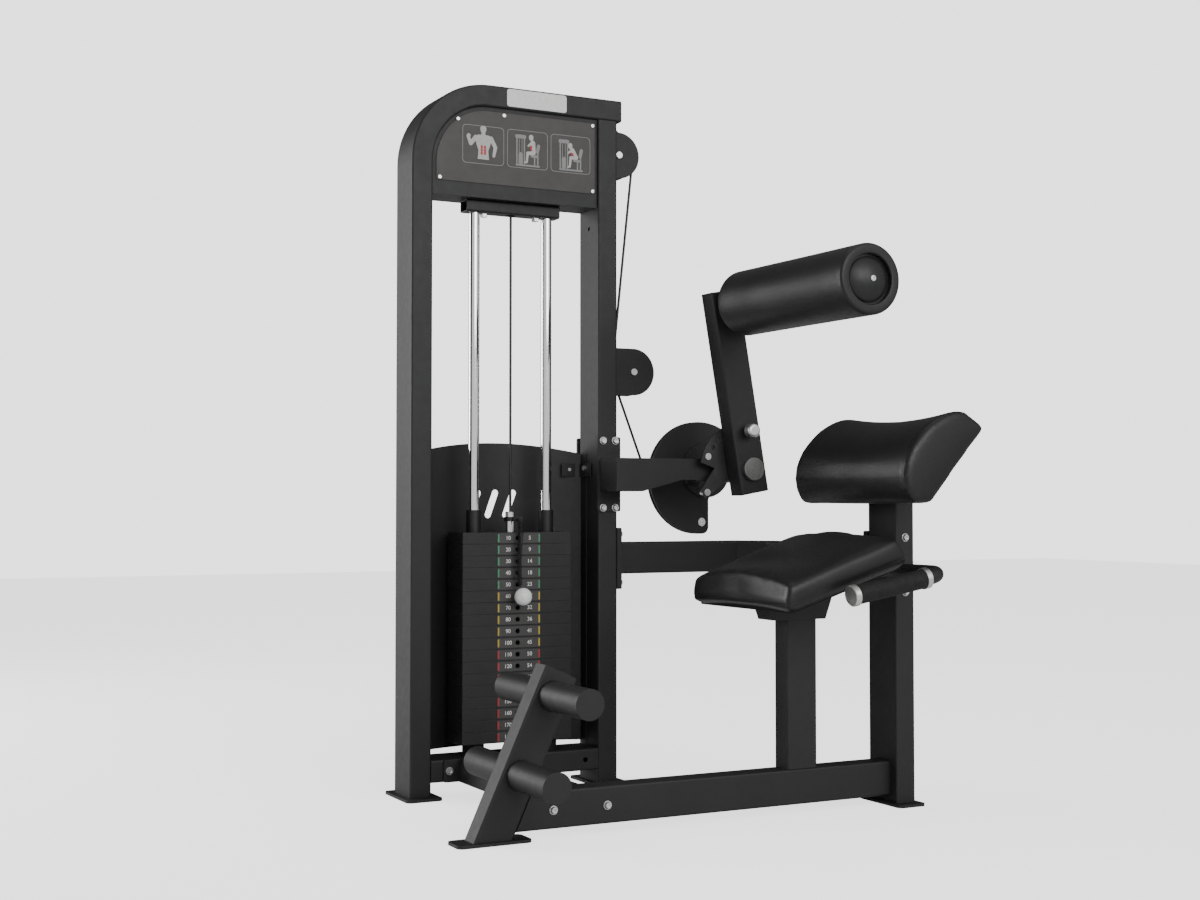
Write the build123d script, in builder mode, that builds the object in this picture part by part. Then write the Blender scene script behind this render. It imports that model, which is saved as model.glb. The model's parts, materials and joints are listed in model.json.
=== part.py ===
from build123d import *
import os
from math import asin, atan2, cos, degrees, pi, radians, sin, tan

os.makedirs("parts", exist_ok=True)

# Ab crunch machine, in millimetres. +Z is up and the user sits facing -X, towards the foot bars.
# The origin is on the floor, under the middle of the machine's box.
# Layout places are counted from the foot of the weight tower's left front corner:
# x along the machine, y back from the tower's front face, z up from the floor.

tower_left = -467.0
tower_front = 308.5
tower_height = 1612.0
tower_width = 517.0
tower_middle_y = 50.0

post_width = 50.0
post_depth = 100.0
rail_height = 75.0
tube_wall = 3.0
tube_corner = 5.0
plate = 6.0
bend_radius = 163.0

user_y = -490.0
base_low = 36.0
base_high = 86.0
rail_low = 20.0
rail_high = rail_low + rail_height
rear_post_x = 916.0

beam_low = 489.0
beam_high = beam_low + rail_height
beam_middle = (beam_low + beam_high) / 2
beam_flange = 12.0
beam_x = rear_post_x + 25
beam_end = user_y + 50
tower_beam_bolts = [(tower_middle_y + dy, beam_middle + dz) for dy in (-36, 36) for dz in (-57, 57)]
rear_beam_bolts = [(beam_x, 463.0), (beam_x, 581.7)]

pivot_x = 784.0
pivot_z = 736.5
arm_lean = 9.8
arm_front = -170.0
arm_width = 75.0
arm_depth = 50.0
shaft_radius = 15.0
running_gap = 0.06

cable_radius = 3.0
pulley_pitch = 48.0
pulley_width = 26.0
upper_pulley = (537.0, 1489.0)
lower_pulley = (577.0, 970.5)
stack_x = 263.0
cam_offset = (-18.0, -18.0)
cam_pitch = 132.0
cam_rim = 137.0

rod_spacing = 183.0
rod_radius = 12.5
row_pitch = 26.5
row_height = 26.0
row_count = 18
lifted_rows = 6
stack_top = 590.0
stack_width = 274.0
stack_depth = 90.0

seat_tilt = 17.5
seat_front = 546.0
seat_low = 441.0
seat_width = 380.0
seat_length = 307.0
seat_edge = 50.0
seat_crown = 18.0

roller_x = 742.0
roller_z = 1119.0
roller_radius = 75.0
roller_inner_end = -205.0
roller_outer_end = -690.0

handle_y = 235.0
handle_bar_radius = 16.0


def at(x, y, z):
    """A layout place in the part's frame."""
    return (tower_left + x, tower_front + y, z)


def front_view(y):
    """A plane facing the front at depth y: sketch x is layout x, sketch y is z."""
    return Plane(origin=at(0, y, 0), x_dir=(1, 0, 0), z_dir=(0, -1, 0))


def end_view(x):
    """A plane facing +X at layout x: sketch x is layout y, sketch y is z."""
    return Plane(origin=at(x, 0, 0), x_dir=(0, 1, 0), z_dir=(1, 0, 0))


def plan_view(z):
    """A level plane at height z: sketch x and y are layout x and y."""
    return Plane(origin=at(0, 0, z))


def tube_section(width, depth):
    """The wall of a rounded box tube, drawn in the open sketch."""
    RectangleRounded(width, depth, tube_corner)
    RectangleRounded(width - 2 * tube_wall, depth - 2 * tube_wall, tube_corner - tube_wall,
                     mode=Mode.SUBTRACT)


def drill(plane, places, radius, depth):
    """Round holes through the open part, from the plane inwards."""
    with BuildSketch(plane) as holes:
        with Locations(*places):
            Circle(radius)
    extrude(holes.sketch, amount=-depth, mode=Mode.SUBTRACT)


def round_stack(plane, places, radius, height, taper=0):
    """Round discs raised from the plane."""
    with BuildSketch(plane) as discs:
        with Locations(*places):
            Circle(radius)
    extrude(discs.sketch, amount=height, taper=taper)


def hexagons(plane, places, radius, height, mode=Mode.ADD):
    """Hexagons raised from the plane, or sunk into it."""
    with BuildSketch(plane) as sides:
        with Locations(*places):
            RegularPolygon(radius, 6)
    extrude(sides.sketch, amount=height, mode=mode)


def button_heads(plane, places, grip):
    """Button-head screws with washers; the plane is the face under the washers."""
    round_stack(plane, places, bolt_washer, 2)
    round_stack(plane.offset(2), places, bolt_head, 5, taper=22)
    hexagons(plane.offset(7), places, 3.4, -3, mode=Mode.SUBTRACT)
    round_stack(plane, places, bolt_radius, -grip)


def through_bolts(plane, places, grip):
    """Button-head screws that go right through, with nuts on the far side."""
    button_heads(plane, places, grip)
    hexagons(plane.offset(-grip), places, bolt_head, -8)


bolt_radius = 5.0
bolt_hole = 5.3
bolt_head = 7.8
bolt_washer = 8.8

# ------------------------------------------------------------------ weight tower

hoop_x = post_width / 2
hoop_top = tower_height - post_width / 2
hoop_end = tower_width + 11.5

with BuildPart() as tower_hoop:
    with BuildLine(front_view(tower_middle_y)) as hoop_path:
        Line((hoop_x, plate), (hoop_x, hoop_top - bend_radius))
        RadiusArc((hoop_x, hoop_top - bend_radius), (hoop_x + bend_radius, hoop_top), bend_radius)
        Line((hoop_x + bend_radius, hoop_top), (hoop_end, hoop_top))
    with BuildSketch(plan_view(plate)):
        with Locations((hoop_x, tower_middle_y)):
            tube_section(post_width, post_depth)
    sweep(path=hoop_path.line)
tower_hoop.part.label = "tower_hoop"
export_step(tower_hoop.part, "parts/tower_hoop.step")

right_post_x = tower_width - post_width / 2
support_bolts = [(right_post_x + dx, 724.6 + dz) for dx in (-16, 16) for dz in (-78.7, 78.7)]
pulley_slot_top = tower_height - post_width

with BuildPart() as tower_right_post:
    with BuildSketch(plan_view(plate)):
        with Locations((right_post_x, tower_middle_y)):
            tube_section(post_width, post_depth)
    extrude(amount=tower_height - post_width - plate)
    drill(front_view(0), support_bolts, bolt_hole, post_depth)
    drill(end_view(tower_width), tower_beam_bolts, bolt_hole, tube_wall)
    drill(end_view(tower_width - post_width + tube_wall), [(tower_middle_y, 1309)], bolt_radius, tube_wall)
    with BuildSketch(end_view(tower_width)):
        with Locations((tower_middle_y, upper_pulley[1])):
            RectangleRounded(pulley_width + 10, 2 * pulley_pitch + 26, 8)
    extrude(amount=-post_width, mode=Mode.SUBTRACT)
tower_right_post.part.label = "tower_right_post"
export_step(tower_right_post.part, "parts/tower_right_post.step")

link_x = 161.0
link_width = 100.0
link_bolts = [(link_x - 59.5, 57.0), (link_x + 59.5, 57.0)]
base_bolts = [(link_x - 70, 61.0), (link_x + 70, 61.0)]

with BuildPart() as tower_base_beam:
    with BuildSketch(end_view(post_width)):
        with Locations((tower_middle_y, (base_low + base_high) / 2)):
            tube_section(post_depth, base_high - base_low)
    extrude(amount=tower_width - 2 * post_width)
    drill(front_view(0), base_bolts, bolt_hole, post_depth)
    drill(front_view(0), [(433.0, 61.0)], 6.0, tube_wall)
tower_base_beam.part.label = "tower_base_beam"
export_step(tower_base_beam.part, "parts/tower_base_beam.step")

foot_plate_places = [(27.5, tower_middle_y, 85.0, 150.0), (right_post_x + 2.5, tower_middle_y, 85.0, 150.0),
                     (rear_post_x + 25.0, user_y, 72.0, 150.0), (-23.0, user_y - 1, 156.0, 64.0)]

with BuildPart() as foot_plates:
    for plate_x, plate_y, plate_width, plate_depth in foot_plate_places:
        with BuildSketch(plan_view(0)):
            with Locations((plate_x, plate_y)):
                RectangleRounded(plate_width, plate_depth, 12)
        extrude(amount=plate)
foot_plates.part.label = "foot_plates"
export_step(foot_plates.part, "parts/foot_plates.step")

link_low = 35.5
link_high = link_low + 50.0
rail_back = user_y + 25.0
rail_front = user_y - 25.0

with BuildPart() as link_beam:
    with BuildSketch(front_view(-plate)):
        with Locations((link_x, (link_low + link_high) / 2)):
            tube_section(link_width, link_high - link_low)
    extrude(amount=-rail_back - 2 * plate)
    with BuildSketch(front_view(0)):
        with Locations((link_x, 61.0)):
            RectangleRounded(165, 50, 4)
    extrude(amount=plate)
    with BuildSketch(front_view(rail_back + plate)):
        with Locations((link_x, 57.5)):
            RectangleRounded(155, 73, 4)
    extrude(amount=plate)
    drill(front_view(-plate), base_bolts, bolt_hole, plate)
    drill(front_view(rail_back), link_bolts, bolt_hole, plate)
link_beam.part.label = "link_beam"
export_step(link_beam.part, "parts/link_beam.step")

# ------------------------------------------------------------------ floor rail and foot post

foot_lean = 24.5
foot_right_low = (15.5, plate)
foot_width = rail_height


def along_foot(distance):
    """A point on the foot post's right edge, counted up from its base."""
    return (foot_right_low[0] + distance * sin(radians(foot_lean)),
            plate + distance * cos(radians(foot_lean)))


foot_length = 333.7
foot_start = along_foot(-60)
across = (foot_width * cos(radians(foot_lean)), foot_width * sin(radians(foot_lean)))
foot_axis = Plane(origin=at(foot_start[0] - across[0] / 2, user_y, foot_start[1] + across[1] / 2),
                  x_dir=(cos(radians(foot_lean)), 0, -sin(radians(foot_lean))),
                  z_dir=(sin(radians(foot_lean)), 0, cos(radians(foot_lean))))
foot_bar_places = [(99.5, 279.0), (31.0, 129.0)]
foot_bar_radius = 30.0

with BuildPart() as foot_post:
    with BuildSketch(foot_axis):
        tube_section(foot_width, 50)
    extrude(amount=foot_length + 60)
    with BuildSketch(plan_view(plate)):
        with Locations((0, user_y)):
            Rectangle(400, 100)
    extrude(amount=-200, mode=Mode.SUBTRACT)
    drill(front_view(rail_front), foot_bar_places, foot_bar_radius + 0.1, 50)
foot_post.part.label = "foot_post"
export_step(foot_post.part, "parts/foot_post.step")

with BuildPart() as foot_bars:
    with BuildSketch(front_view(user_y + 188)):
        with Locations(*foot_bar_places):
            Circle(foot_bar_radius)
            Circle(foot_bar_radius - tube_wall, mode=Mode.SUBTRACT)
    extrude(amount=376)
    for cap_face in (user_y + 188, user_y - 188 + 4):
        with BuildSketch(front_view(cap_face)):
            with Locations(*foot_bar_places):
                Circle(foot_bar_radius - tube_wall)
        extrude(amount=4)
foot_bars.part.label = "foot_bars"
export_step(foot_bars.part, "parts/foot_bars.step")

with BuildPart() as main_rail:
    with BuildSketch(end_view(10)):
        with Locations((user_y, (rail_low + rail_high) / 2)):
            tube_section(50, rail_height)
    extrude(amount=rear_post_x - 10)
    with BuildSketch(front_view(rail_back + 1)):
        Polygon(along_foot(-40), along_foot(200), (-150, 200), (-150, -40), align=None)
    extrude(amount=52, mode=Mode.SUBTRACT)
    drill(front_view(rail_front), link_bolts, bolt_hole, 50)
main_rail.part.label = "main_rail"
export_step(main_rail.part, "parts/main_rail.step")

# ------------------------------------------------------------------ seat

bracket_low = 410.0

with BuildPart() as seat_post:
    with BuildSketch(plan_view(rail_high)):
        with Locations((687.5, user_y)):
            tube_section(75, 50)
    extrude(amount=bracket_low - rail_high)
seat_post.part.label = "seat_post"
export_step(seat_post.part, "parts/seat_post.step")

board_thickness = 10.0
tilt_cos = cos(radians(seat_tilt))
tilt_sin = sin(radians(seat_tilt))


def under_seat(x, drop):
    """A point below the pad's underside at layout x, drop measured square to the pad."""
    return (x, seat_low + (x - seat_front) * tan(radians(seat_tilt)) - drop / tilt_cos)


with BuildPart() as seat_bracket:
    with BuildSketch(front_view(user_y + 29)):
        Polygon(under_seat(598, board_thickness), (612, bracket_low), (745, bracket_low),
                under_seat(780, board_thickness), align=None)
    extrude(amount=58)
    with BuildSketch(front_view(user_y + 25)):
        Polygon(under_seat(605, board_thickness - 5), (617, bracket_low + 4), (740, bracket_low + 4),
                under_seat(774, board_thickness - 5), align=None)
    extrude(amount=50, mode=Mode.SUBTRACT)
seat_bracket.part.label = "seat_bracket"
export_step(seat_bracket.part, "parts/seat_bracket.step")

seat_line = Plane(origin=at(seat_front, user_y, seat_low), x_dir=(0, 1, 0), z_dir=(tilt_cos, 0, tilt_sin))

with BuildPart() as seat_board:
    with BuildSketch(seat_line.offset(12)):
        with Locations((0, -board_thickness / 2)):
            Rectangle(seat_width - 24, board_thickness)
    extrude(amount=seat_length - 24)
seat_board.part.label = "seat_board"
export_step(seat_board.part, "parts/seat_board.step")

half_seat = seat_width / 2
seat_back_x = seat_front + seat_length * tilt_cos
seat_top = seat_edge + seat_crown

with BuildPart() as seat_pad:
    with BuildSketch(front_view(user_y + half_seat)):
        with BuildLine():
            Polyline(under_seat(seat_back_x - 42, -seat_top), under_seat(seat_front, -seat_top),
                     under_seat(seat_front, 0), under_seat(seat_back_x, 0))
            ThreePointArc(under_seat(seat_back_x, 0), under_seat(seat_back_x - 14, -seat_edge * 0.7),
                          under_seat(seat_back_x - 42, -seat_top))
        make_face()
    extrude(amount=seat_width)
    with BuildSketch(seat_line.offset(-60)):
        with BuildLine():
            Polyline((-half_seat, seat_edge), (-half_seat, -30), (half_seat, -30), (half_seat, seat_edge))
            ThreePointArc((half_seat, seat_edge), (0, seat_top), (-half_seat, seat_edge))
        make_face()
    extrude(amount=seat_length + 140, mode=Mode.INTERSECT)
seat_pad.part.label = "seat_pad"
export_step(seat_pad.part, "parts/seat_pad.step")

# ------------------------------------------------------------------ rear post and back pad

back_low = (890.0, 657.0)
back_high = (1035.0, 818.0)
back_angle = atan2(back_high[1] - back_low[1], back_high[0] - back_low[0])
back_half_width = 205.0
back_square = (sin(back_angle), -cos(back_angle))


def behind_back(along, square):
    """A point of the back pad's rear plane: along its slope from the low edge, then square out behind it."""
    return (back_low[0] + along * cos(back_angle) + square * back_square[0],
            back_low[1] + along * sin(back_angle) + square * back_square[1])


with BuildPart() as rear_post:
    with BuildSketch(plan_view(plate)):
        with Locations((rear_post_x + 25, user_y)):
            tube_section(50, 100)
    extrude(amount=900)
    with BuildSketch(front_view(user_y + 60)):
        Polygon(behind_back(-200, 12), behind_back(500, 12), (700, 1400), align=None)
    extrude(amount=120, mode=Mode.SUBTRACT)
    drill(front_view(user_y - 50), rear_beam_bolts, bolt_hole, 100)
rear_post.part.label = "rear_post"
export_step(rear_post.part, "parts/rear_post.step")

with BuildPart() as back_board:
    with BuildSketch(front_view(user_y + 170)):
        Polygon(behind_back(14, 0), behind_back(14, 12), behind_back(190, 12), behind_back(190, 0),
                align=None)
    extrude(amount=340)
back_board.part.label = "back_board"
export_step(back_board.part, "parts/back_board.step")

with BuildPart() as back_pad:
    with BuildSketch(front_view(user_y + back_half_width)):
        with BuildLine():
            Polyline((848, 657), back_low, back_high, (981, 849))
            Spline((981, 849), (858, 785), (827, 714), (848, 657))
        make_face()
    extrude(amount=2 * back_half_width)
back_pad.part.label = "back_pad"
export_step(back_pad.part, "parts/back_pad.step")

# ------------------------------------------------------------------ seat beam, tower to rear post

with BuildPart() as seat_beam:
    with BuildLine(plan_view(beam_middle)) as beam_path:
        Polyline((tower_width + beam_flange, tower_middle_y), (beam_x - 64, tower_middle_y),
                 (beam_x, tower_middle_y - 64), (beam_x, beam_end + beam_flange))
    with BuildSketch(end_view(tower_width + beam_flange)):
        with Locations((tower_middle_y, beam_middle)):
            tube_section(50, rail_height)
    sweep(path=beam_path.line, transition=Transition.RIGHT)
    with BuildSketch(end_view(tower_width)):
        with Locations((tower_middle_y, beam_middle)):
            RectangleRounded(post_depth, 144, 4)
    extrude(amount=beam_flange)
    with BuildSketch(front_view(beam_end + beam_flange)):
        with Locations((beam_x, 523.0)):
            RectangleRounded(58, 144, 4)
    extrude(amount=beam_flange)
    drill(front_view(beam_end), rear_beam_bolts, bolt_hole, beam_flange)
    drill(end_view(tower_width + beam_flange), tower_beam_bolts, bolt_hole, beam_flange)
seat_beam.part.label = "seat_beam"
export_step(seat_beam.part, "parts/seat_beam.step")

# ------------------------------------------------------------------ side handles

handle_front = (662.0, 470.0)
handle_back = (rear_post_x - handle_bar_radius, 511.0)
handle_bend = 45.0
handle_rise = atan2(handle_back[1] - handle_front[1], handle_back[0] - handle_front[0])
handle_slope = (cos(handle_rise), sin(handle_rise))


def on_handle(distance, side):
    """A point of one side bar's centre line, counted back from its front end."""
    return at(handle_front[0] + distance * handle_slope[0], user_y + side * handle_y,
              handle_front[1] + distance * handle_slope[1])


def handle_plane(distance, side):
    """A plane square to a side bar."""
    return Plane(origin=on_handle(distance, side), x_dir=(0, 1, 0),
                 z_dir=(handle_slope[0], 0, handle_slope[1]))


with BuildPart() as handle_bar:
    with BuildLine() as handle_path:
        FilletPolyline(on_handle(14, -1), at(handle_back[0], user_y - handle_y, handle_back[1]),
                       at(handle_back[0], user_y + handle_y, handle_back[1]), on_handle(14, 1),
                       radius=handle_bend)
    with BuildSketch(handle_plane(14, -1)):
        Circle(handle_bar_radius)
        Circle(handle_bar_radius - 2.5, mode=Mode.SUBTRACT)
    sweep(path=handle_path.line)
    with BuildSketch(plan_view(beam_low)):
        with Locations((beam_x - 29.2, beam_end + beam_flange / 2)):
            Rectangle(10, beam_flange + 0.4, align=(Align.MIN, Align.CENTER))
    extrude(amount=rail_height, mode=Mode.SUBTRACT)
handle_bar.part.label = "handle_bar"
export_step(handle_bar.part, "parts/handle_bar.step")

grip_start = 14.0
grip_length = 168.0

with BuildPart() as handle_grips:
    for side in (-1, 1):
        with BuildSketch(handle_plane(grip_start, side)):
            Circle(20)
            Circle(handle_bar_radius, mode=Mode.SUBTRACT)
        extrude(amount=grip_length)
handle_grips.part.label = "handle_grips"
export_step(handle_grips.part, "parts/handle_grips.step")

with BuildPart() as grip_rings:
    for side in (-1, 1):
        with BuildSketch(handle_plane(0, side)):
            Circle(22)
        extrude(amount=grip_start)
    chamfer(grip_rings.edges().filter_by(GeomType.CIRCLE), 2)
    for side in (-1, 1):
        with BuildSketch(handle_plane(grip_start + grip_length, side)):
            Circle(22)
            Circle(handle_bar_radius, mode=Mode.SUBTRACT)
        extrude(amount=12)
grip_rings.part.label = "grip_rings"
export_step(grip_rings.part, "parts/grip_rings.step")

# ------------------------------------------------------------------ lever support and its bearing

support_low = 684.0
support_high = 761.0
support_front = -92.0
support_depth = 50.0
housing_radius = 31.0
bearing_radius = 26.0
housing_front = -100.0
housing_back = 18.0

with BuildPart() as arm_support:
    with BuildSketch(front_view(0)):
        with Locations((right_post_x, 724.6)):
            RectangleRounded(60, 175, 4)
    extrude(amount=plate)
    with BuildSketch(front_view(-plate)):
        with Locations((right_post_x, (support_low + support_high) / 2)):
            tube_section(post_width, support_high - support_low)
    extrude(amount=-support_front - support_depth - plate)
    with BuildSketch(front_view(support_front + support_depth)):
        Polygon((right_post_x - 25, support_low), (535, support_low), (640, 711), (pivot_x, 711),
                (pivot_x, 745), (700, support_high), (right_post_x - 25, support_high), align=None)
    extrude(amount=support_depth)
    with BuildSketch(front_view(support_front + support_depth - tube_wall)):
        Polygon((right_post_x - 22, support_low + 3), (534, support_low + 3), (640, 714), (pivot_x, 714),
                (pivot_x, 742), (700, support_high - 3), (right_post_x - 22, support_high - 3), align=None)
    extrude(amount=support_depth - 2 * tube_wall, mode=Mode.SUBTRACT)
    drill(front_view(housing_front - 20), [(pivot_x, pivot_z)], housing_radius, 200)
    drill(front_view(-plate), support_bolts, bolt_hole, plate)
arm_support.part.label = "arm_support"
export_step(arm_support.part, "parts/arm_support.step")

with BuildPart() as support_back_plate:
    with BuildSketch(front_view(post_depth + plate)):
        with Locations((right_post_x, 724.6)):
            RectangleRounded(60, 175, 4)
    extrude(amount=plate)
    drill(front_view(post_depth), support_bolts, bolt_hole, plate)
support_back_plate.part.label = "support_back_plate"
export_step(support_back_plate.part, "parts/support_back_plate.step")

with BuildPart() as pivot_housing:
    with BuildSketch(front_view(housing_back)):
        with Locations((pivot_x, pivot_z)):
            Circle(housing_radius)
            Circle(bearing_radius, mode=Mode.SUBTRACT)
    extrude(amount=housing_back - housing_front)
pivot_housing.part.label = "pivot_housing"
export_step(pivot_housing.part, "parts/pivot_housing.step")

bearing_width = 16.0

with BuildPart() as pivot_bearings:
    for bearing_back in (housing_back, housing_front + bearing_width):
        with BuildSketch(front_view(bearing_back)):
            with Locations((pivot_x, pivot_z)):
                Circle(bearing_radius)
                Circle(shaft_radius + running_gap, mode=Mode.SUBTRACT)
        extrude(amount=bearing_width)
pivot_bearings.part.label = "pivot_bearings"
export_step(pivot_bearings.part, "parts/pivot_bearings.step")

stop_angle = radians(201)
stop_place = (pivot_x + 106 * cos(stop_angle), pivot_z + 106 * sin(stop_angle))

with BuildPart() as rest_stop:
    with BuildSketch(front_view(-58)):
        with Locations(stop_place):
            Circle(10)
    extrude(amount=52)
    with BuildSketch(front_view(support_front + support_depth)):
        with Locations((stop_place[0], 707)):
            Rectangle(16, 8)
    extrude(amount=support_depth)
rest_stop.part.label = "rest_stop"
export_step(rest_stop.part, "parts/rest_stop.step")

# ------------------------------------------------------------------ cam and sector, turning on the shaft

cam_half = 8.5
cam_centre = (pivot_x + cam_offset[0], pivot_z + cam_offset[1])
cam_face = tower_middle_y - cam_half
groove_radius = cam_pitch - cable_radius - 2.2
shaft_front = arm_front + 1
shaft_back = tower_middle_y + cam_half + 4
anchor_place = (pivot_x - 10, pivot_z - 126)
anchor_radius = 10.5

with BuildPart() as cam:
    with BuildSketch(front_view(tower_middle_y + cam_half)) as cam_outline:
        with Locations(cam_centre):
            Circle(cam_rim)
        with Locations((pivot_x + 8, pivot_z - 20)):
            Rectangle(200, 200, align=(Align.MIN, Align.MAX), mode=Mode.SUBTRACT)
        with Locations((pivot_x, pivot_z)):
            Circle(65)
        fillet(cam_outline.vertices().sort_by(Axis.Y)[0], 17)
        fillet(cam_outline.vertices().sort_by_distance((pivot_x + 8, pivot_z - 64.5))[0], 10)
    extrude(amount=2 * cam_half)
    with BuildSketch(front_view(tower_middle_y + 3.3)):
        with Locations(cam_centre):
            Circle(cam_rim + 10)
            Circle(groove_radius, mode=Mode.SUBTRACT)
    extrude(amount=6.6, mode=Mode.SUBTRACT)
    with BuildSketch(front_view(cam_face)):
        with Locations((pivot_x, pivot_z)):
            Circle(66)
    extrude(amount=5.5)
    drill(front_view(cam_face - 10), [(pivot_x, pivot_z)], shaft_radius, 60)
    drill(front_view(cam_face), [anchor_place], anchor_radius, 2 * cam_half)
cam.part.label = "cam"
export_step(cam.part, "parts/cam.step")

with BuildPart() as pivot_shaft:
    with BuildSketch(front_view(shaft_back)):
        with Locations((pivot_x, pivot_z)):
            Circle(shaft_radius)
    extrude(amount=shaft_back - shaft_front)
    with BuildSketch(front_view(cam_face - 5.5)):
        with Locations((pivot_x, pivot_z)):
            Circle(shaft_radius + 6)
    extrude(amount=cam_face - 5.5 - housing_back - 1)
pivot_shaft.part.label = "pivot_shaft"
export_step(pivot_shaft.part, "parts/pivot_shaft.step")

sector_back = -112.0
sector_radius = 108.0
index_radius = 90.0
index_step = 15.4
arm_angle = 90 + arm_lean
index_angles = [arm_angle + index_step * step for step in range(4)]


def round_pivot(radius, angle):
    """A place round the lever's pivot, the angle in degrees from +X."""
    return (pivot_x + radius * cos(radians(angle)), pivot_z + radius * sin(radians(angle)))


with BuildPart() as sector_plate:
    with BuildSketch(front_view(sector_back)):
        with BuildLine():
            Line((pivot_x, pivot_z), round_pivot(sector_radius, 88))
            ThreePointArc(round_pivot(sector_radius, 88), round_pivot(sector_radius, 130),
                          round_pivot(sector_radius, 172))
            Line(round_pivot(sector_radius, 172), round_pivot(70, 178))
            Line(round_pivot(70, 178), round_pivot(sector_radius + 8, 204))
            ThreePointArc(round_pivot(sector_radius + 8, 204), round_pivot(sector_radius + 8, 210),
                          round_pivot(sector_radius + 8, 216))
            Line(round_pivot(sector_radius + 8, 216), (pivot_x, pivot_z))
        make_face()
        with Locations((pivot_x, pivot_z)):
            Circle(34)
    extrude(amount=plate)
    drill(front_view(sector_back - plate), [(pivot_x, pivot_z)], shaft_radius, plate)
    drill(front_view(sector_back - plate), [round_pivot(index_radius, angle) for angle in index_angles],
          5.5, plate)
sector_plate.part.label = "sector_plate"
export_step(sector_plate.part, "parts/sector_plate.step")

stop_bolt = round_pivot(106, 211)

with BuildPart() as cam_bolts:
    with BuildSketch(front_view(sector_back + 16)):
        with Locations(stop_bolt):
            Circle(8)
    extrude(amount=16)
    with BuildSketch(front_view(sector_back - plate)):
        with Locations(stop_bolt, round_pivot(93, 161.5)):
            Circle(8)
    extrude(amount=1.5)
    with BuildSketch(front_view(cam_face + 4)):
        with Locations(anchor_place):
            Circle(anchor_radius)
            with Locations((0, -4), (0, 4)):
                Circle(1.4, mode=Mode.SUBTRACT)
    extrude(amount=3)
cam_bolts.part.label = "cam_bolts"
export_step(cam_bolts.part, "parts/cam_bolts.step")

# ------------------------------------------------------------------ lever arm, pull pin and roller

arm_above = 421.0
arm_below = 57.0
lean_sin = sin(radians(arm_lean))
lean_cos = cos(radians(arm_lean))


def on_arm(height, sideways):
    """A place on the lever's face, from the pivot: up the lever, then square to it towards +X."""
    return (pivot_x - height * lean_sin + sideways * lean_cos,
            pivot_z + height * lean_cos + sideways * lean_sin)


def arm_corners(margin):
    """The lever's outline, drawn in by a margin all round."""
    half = arm_width / 2 - margin
    return [on_arm(-arm_below + margin, -half), on_arm(-arm_below + margin, half),
            on_arm(arm_above - margin, half), on_arm(arm_above - margin, -half)]


roller_place = (roller_x, roller_z)
barrel_radius = 9.0
pin_radius = 4.5

with BuildPart() as lever_arm:
    with BuildSketch(front_view(arm_front + arm_depth)):
        Polygon(*arm_corners(0), align=None)
    extrude(amount=arm_depth)
    fillet(lever_arm.edges().filter_by(Axis.Y, reverse=True), 4)
    with BuildSketch(front_view(arm_front + arm_depth - tube_wall)):
        Polygon(*arm_corners(tube_wall), align=None)
    extrude(amount=arm_depth - 2 * tube_wall, mode=Mode.SUBTRACT)
    with BuildSketch(front_view(arm_front + arm_depth)):
        with Locations((pivot_x, pivot_z)):
            Circle(27)
    extrude(amount=arm_depth)
    with BuildSketch(front_view(arm_front + arm_depth)):
        with Locations(round_pivot(index_radius, arm_angle)):
            Circle(barrel_radius)
    extrude(amount=arm_depth + 8)
    drill(front_view(arm_front), [(pivot_x, pivot_z)], shaft_radius + running_gap, arm_depth)
    drill(front_view(arm_front - 8), [round_pivot(index_radius, arm_angle)], pin_radius + running_gap,
          arm_depth + 8)
lever_arm.part.label = "lever_arm"
export_step(lever_arm.part, "parts/lever_arm.step")

with BuildPart() as pivot_cap:
    with BuildSketch(front_view(arm_front)):
        with Locations((pivot_x, pivot_z)):
            Circle(27)
    extrude(amount=12)
    chamfer(pivot_cap.faces().sort_by(Axis.Y)[0].edges(), 1.5)
    for ring_radius in (7, 14, 21):
        with BuildSketch(front_view(arm_front - 12)):
            with Locations((pivot_x, pivot_z)):
                Circle(ring_radius + 0.8)
                Circle(ring_radius, mode=Mode.SUBTRACT)
        extrude(amount=-0.8, mode=Mode.SUBTRACT)
pivot_cap.part.label = "pivot_cap"
export_step(pivot_cap.part, "parts/pivot_cap.step")

axle_radius = 15.0

with BuildPart() as roller_axle:
    with BuildSketch(front_view(arm_front)):
        with Locations(roller_place):
            Circle(axle_radius)
    extrude(amount=arm_front - roller_outer_end - 4)
    with BuildSketch(front_view(arm_front)):
        with Locations(roller_place):
            Circle(axle_radius + 8)
    extrude(amount=arm_front - roller_inner_end - 2)
roller_axle.part.label = "roller_axle"
export_step(roller_axle.part, "parts/roller_axle.step")

with BuildPart() as roller_pad:
    with BuildSketch(front_view(roller_inner_end)):
        with Locations(roller_place):
            Circle(roller_radius)
            Circle(axle_radius + running_gap, mode=Mode.SUBTRACT)
    extrude(amount=roller_inner_end - roller_outer_end)
    with BuildSketch(front_view(roller_outer_end)):
        with Locations(roller_place):
            Circle(53)
    extrude(amount=-12, mode=Mode.SUBTRACT)
    sleeve_side = roller_pad.faces().filter_by(GeomType.CYLINDER).sort_by(SortBy.AREA)[-1]
    fillet(sleeve_side.edges().filter_by(GeomType.CIRCLE), 6)
roller_pad.part.label = "roller_pad"
export_step(roller_pad.part, "parts/roller_pad.step")

cap_radius = 48.0
cap_back = roller_outer_end + 11
cap_front = roller_outer_end - 8
screw_sink = 1.5

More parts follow.
